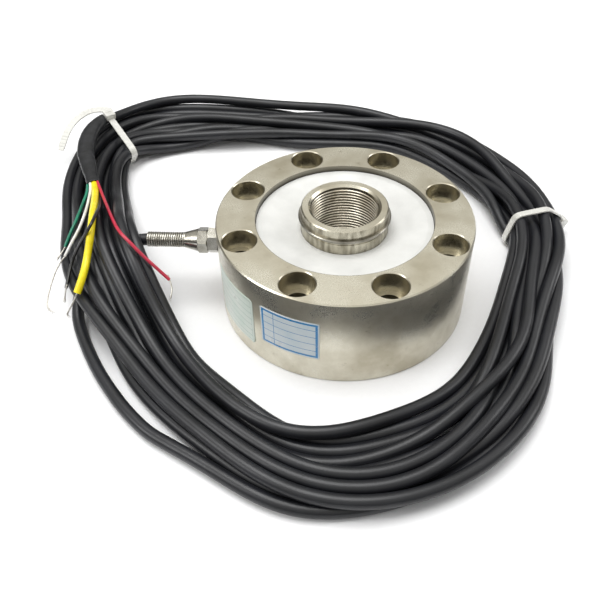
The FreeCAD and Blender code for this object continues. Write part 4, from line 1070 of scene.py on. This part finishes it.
def labelPaper(name, s, p):
    # arc = bearing * radius and height choose the frame and rules, drawn in ink on the paper
    material, tree, shader, where = newMaterial(name + "_coated_paper")
    parts = addNode(tree, "ShaderNodeSeparateXYZ", {0: where})
    bearing = calc(tree, "ARCTAN2", parts.outputs[1], parts.outputs[0])
    mid = math.radians(sum(s["bearings"]) / 2)
    half = math.radians((s["bearings"][1] - s["bearings"][0]) / 2) * ringRadius
    arc = times(tree, calc(tree, "SUBTRACT", bearing, mid), ringRadius)
    z = parts.outputs[2]
    low, high = s["heights"][0] + p["inset"], s["heights"][1] - p["inset"]
    side = half - p["inset"]
    inner = times(tree, between(tree, arc, p["line"] - side, side - p["line"]),
                  between(tree, z, low + p["line"], high - p["line"]))
    outer = times(tree, between(tree, arc, -side, side), between(tree, z, low, high))
    ink = calc(tree, "SUBTRACT", outer, inner)
    for value, places in ((z, p["rows"]), (arc, p["columns"])):
        for place in places:
            rule = times(tree, between(tree, value, place - ruleHalf, place + ruleHalf), inner)
            ink = calc(tree, "MAXIMUM", ink, rule)
    ink = times(tree, ink, ramp(tree, noise(tree, where, 0.5, 6, 0.7), 0.30, 0.40))
    broad = noise(tree, where, 14, 4)
    paper = mixColour(tree, ramp(tree, broad, 0.35, 0.65), linear(p["paper"]), linear(p["tint"]))
    colour = mixColour(tree, ink, paper, linear(p["ink"]))
    join(tree, shader, colour, ramp(tree, broad, 0.3, 0.7, 0.26, 0.36),
         bump(tree, noise(tree, where, 2.2, 3), 0.5, 0.02))
    shader.inputs["Coat Weight"].default_value = 0.3
    shader.inputs["Coat Roughness"].default_value = 0.15
    return material


materials = {name: metal(name, s) for name, s in metalSettings.items()}
materials.update({name: plain(name, s) for name, s in plainSettings.items()})
materials["milky_tie_nylon"] = tieNylon()


def paint(item, material):
    # the material fills every slot of the piece
    if not item.material_slots:
        item.data.materials.append(material)
    for slot in item.material_slots:
        slot.material = material


nodeMaterials = {
    "spoke_body": "satin_nickel_plate", "top_cover": "white_enamel_cover", "bottom_cover": "white_enamel_cover",
    "boss_snap_ring": "spring_ring_steel", "board_pad": "grey_pad_foam", "bridge_board": "green_board_laminate",
    "gauge_harness": "grey_harness_vinyl", "inner_core_1": "red_core_vinyl", "inner_core_2": "green_core_vinyl",
    "inner_core_3": "white_core_vinyl", "inner_core_4": "black_core_vinyl", "gland_washer": "black_gland_rubber",
    "gland_adapter": "bright_gland_nickel", "gland_nut": "bright_gland_nickel",
    "gland_grommet": "black_gland_rubber", "bend_spring": "drawn_spring_wire", "cable_entry": "black_cable_jacket",
    "cable_lead": "black_cable_jacket", "cable_coil": "black_cable_jacket", "end_sleeve": "shrunk_black_sleeve",
    "wire_red": "red_core_vinyl", "wire_green": "green_core_vinyl", "wire_white": "white_core_vinyl",
    "wire_black": "black_core_vinyl", "drain_sleeve": "yellow_core_sleeve",
    "cable_tie_left": "milky_tie_nylon", "cable_tie_right": "milky_tie_nylon",
}
for nodeName, node in nodes.items():
    chosen = "amber_gauge_foil" if nodeName.startswith("strain_gauge") else nodeMaterials[nodeName]
    paint(node, materials[chosen])
for coreName, (wire, tip) in cores.items():
    paint(wire, materials[nodeMaterials[coreName]])
    paint(tip, materials["tinned_copper"])
paint(cable, materials["black_cable_jacket"])
paint(sleeve, materials["shrunk_black_sleeve"])
paint(bendSpringWire, materials["drawn_spring_wire"])
paint(centreThread, materials["turned_thread_steel"])
for labelName, item in labels.items():
    paint(item, labelPaper(labelName, labelSettings[labelName], labelPrint[labelName]))
for item in ties.values():
    paint(item, materials["milky_tie_nylon"])
print("materials made:", len(bpy.data.materials))


# Floor, lights and surroundings
stageSettings = {
    "floorHalf": 2.2,
    "lights": (
        {"name": "above", "at": (-0.15, 0.10, 1.25), "size": 0.9, "power": 14.0},
        {"name": "left", "at": (-1.05, -0.35, 0.75), "size": 0.5, "power": 5.0},
        {"name": "right", "at": (1.00, 0.25, 0.70), "size": 0.5, "power": 3.0},
    ),
    "surround": 0.50,
    "reflected": 1.0,
}


def makeFloor(s):
    # a wide grid of matt white paper at height 0
    side = np.linspace(-s["floorHalf"], s["floorHalf"], 12)
    grid = np.stack([*np.meshgrid(side, side, indexing="ij"), np.full((12, 12), -0.00005)], 2)
    floor = surfacePiece("floor", [grid], around=False)
    material, tree, shader, where = newMaterial("matt_white_paper")
    fine = noise(tree, where, 3, 4)
    tree.links.new(mixColour(tree, fine, linear("#f6f6f6"), linear("#f0f0f0")), shader.inputs["Base Color"])
    shader.inputs["Roughness"].default_value = 0.9
    shader.inputs["Specular IOR Level"].default_value = 0.1
    paint(floor, material)


def makeLights(s):
    # square area lights that look at the object's middle
    for light in s["lights"]:
        data = bpy.data.lights.new(light["name"], "AREA")
        data.shape = "SQUARE"
        data.size = light["size"]
        data.energy = light["power"]
        place = np.array(light["at"])
        back = unit(place - np.array([0, 0, 0.02]))
        side = unit(np.cross((0.0, 1.0, 0.0), back))
        putAt(bpy.data.objects.new(light["name"], data), side, np.cross(back, side), back, place)


def makeSurround(s):
    # white to the camera; to the metal a room that is bright above and darker at the sides
    world = bpy.data.worlds.new("surround")
    scene.world = world
    world.use_nodes = True
    tree = world.node_tree
    tree.nodes.clear()
    path = addNode(tree, "ShaderNodeLightPath")
    turned = addNode(tree, "ShaderNodeTexCoord").outputs["Generated"]
    direction = addNode(tree, "ShaderNodeSeparateXYZ", {0: turned})
    patches = addNode(tree, "ShaderNodeTexNoise", {"Vector": turned, "Scale": 2.6, "Detail": 2.0}).outputs[0]
    height = times(tree, ramp(tree, direction.outputs[2], 0.18, 0.62), ramp(tree, patches, 0.30, 0.62, 0.72, 1.0))
    room = addNode(tree, "ShaderNodeBackground", {
        "Color": mixColour(tree, height, linear("#3d3a33"), linear("#fffdf6")), "Strength": s["reflected"]})
    soft = addNode(tree, "ShaderNodeBackground", {"Color": (1, 1, 1, 1), "Strength": s["surround"]})
    white = addNode(tree, "ShaderNodeBackground", {"Color": (1, 1, 1, 1), "Strength": 1.0})
    shiny = calc(tree, "MAXIMUM", path.outputs["Is Glossy Ray"], path.outputs["Is Transmission Ray"])
    first = addNode(tree, "ShaderNodeMixShader", {0: shiny, 1: soft.outputs[0], 2: room.outputs[0]})
    second = addNode(tree, "ShaderNodeMixShader", {0: path.outputs["Is Camera Ray"], 1: first.outputs[0],
                                                   2: white.outputs[0]})
    addNode(tree, "ShaderNodeOutputWorld", {0: second.outputs[0]})


makeFloor(stageSettings)
makeLights(stageSettings)
makeSurround(stageSettings)
print("stage made")
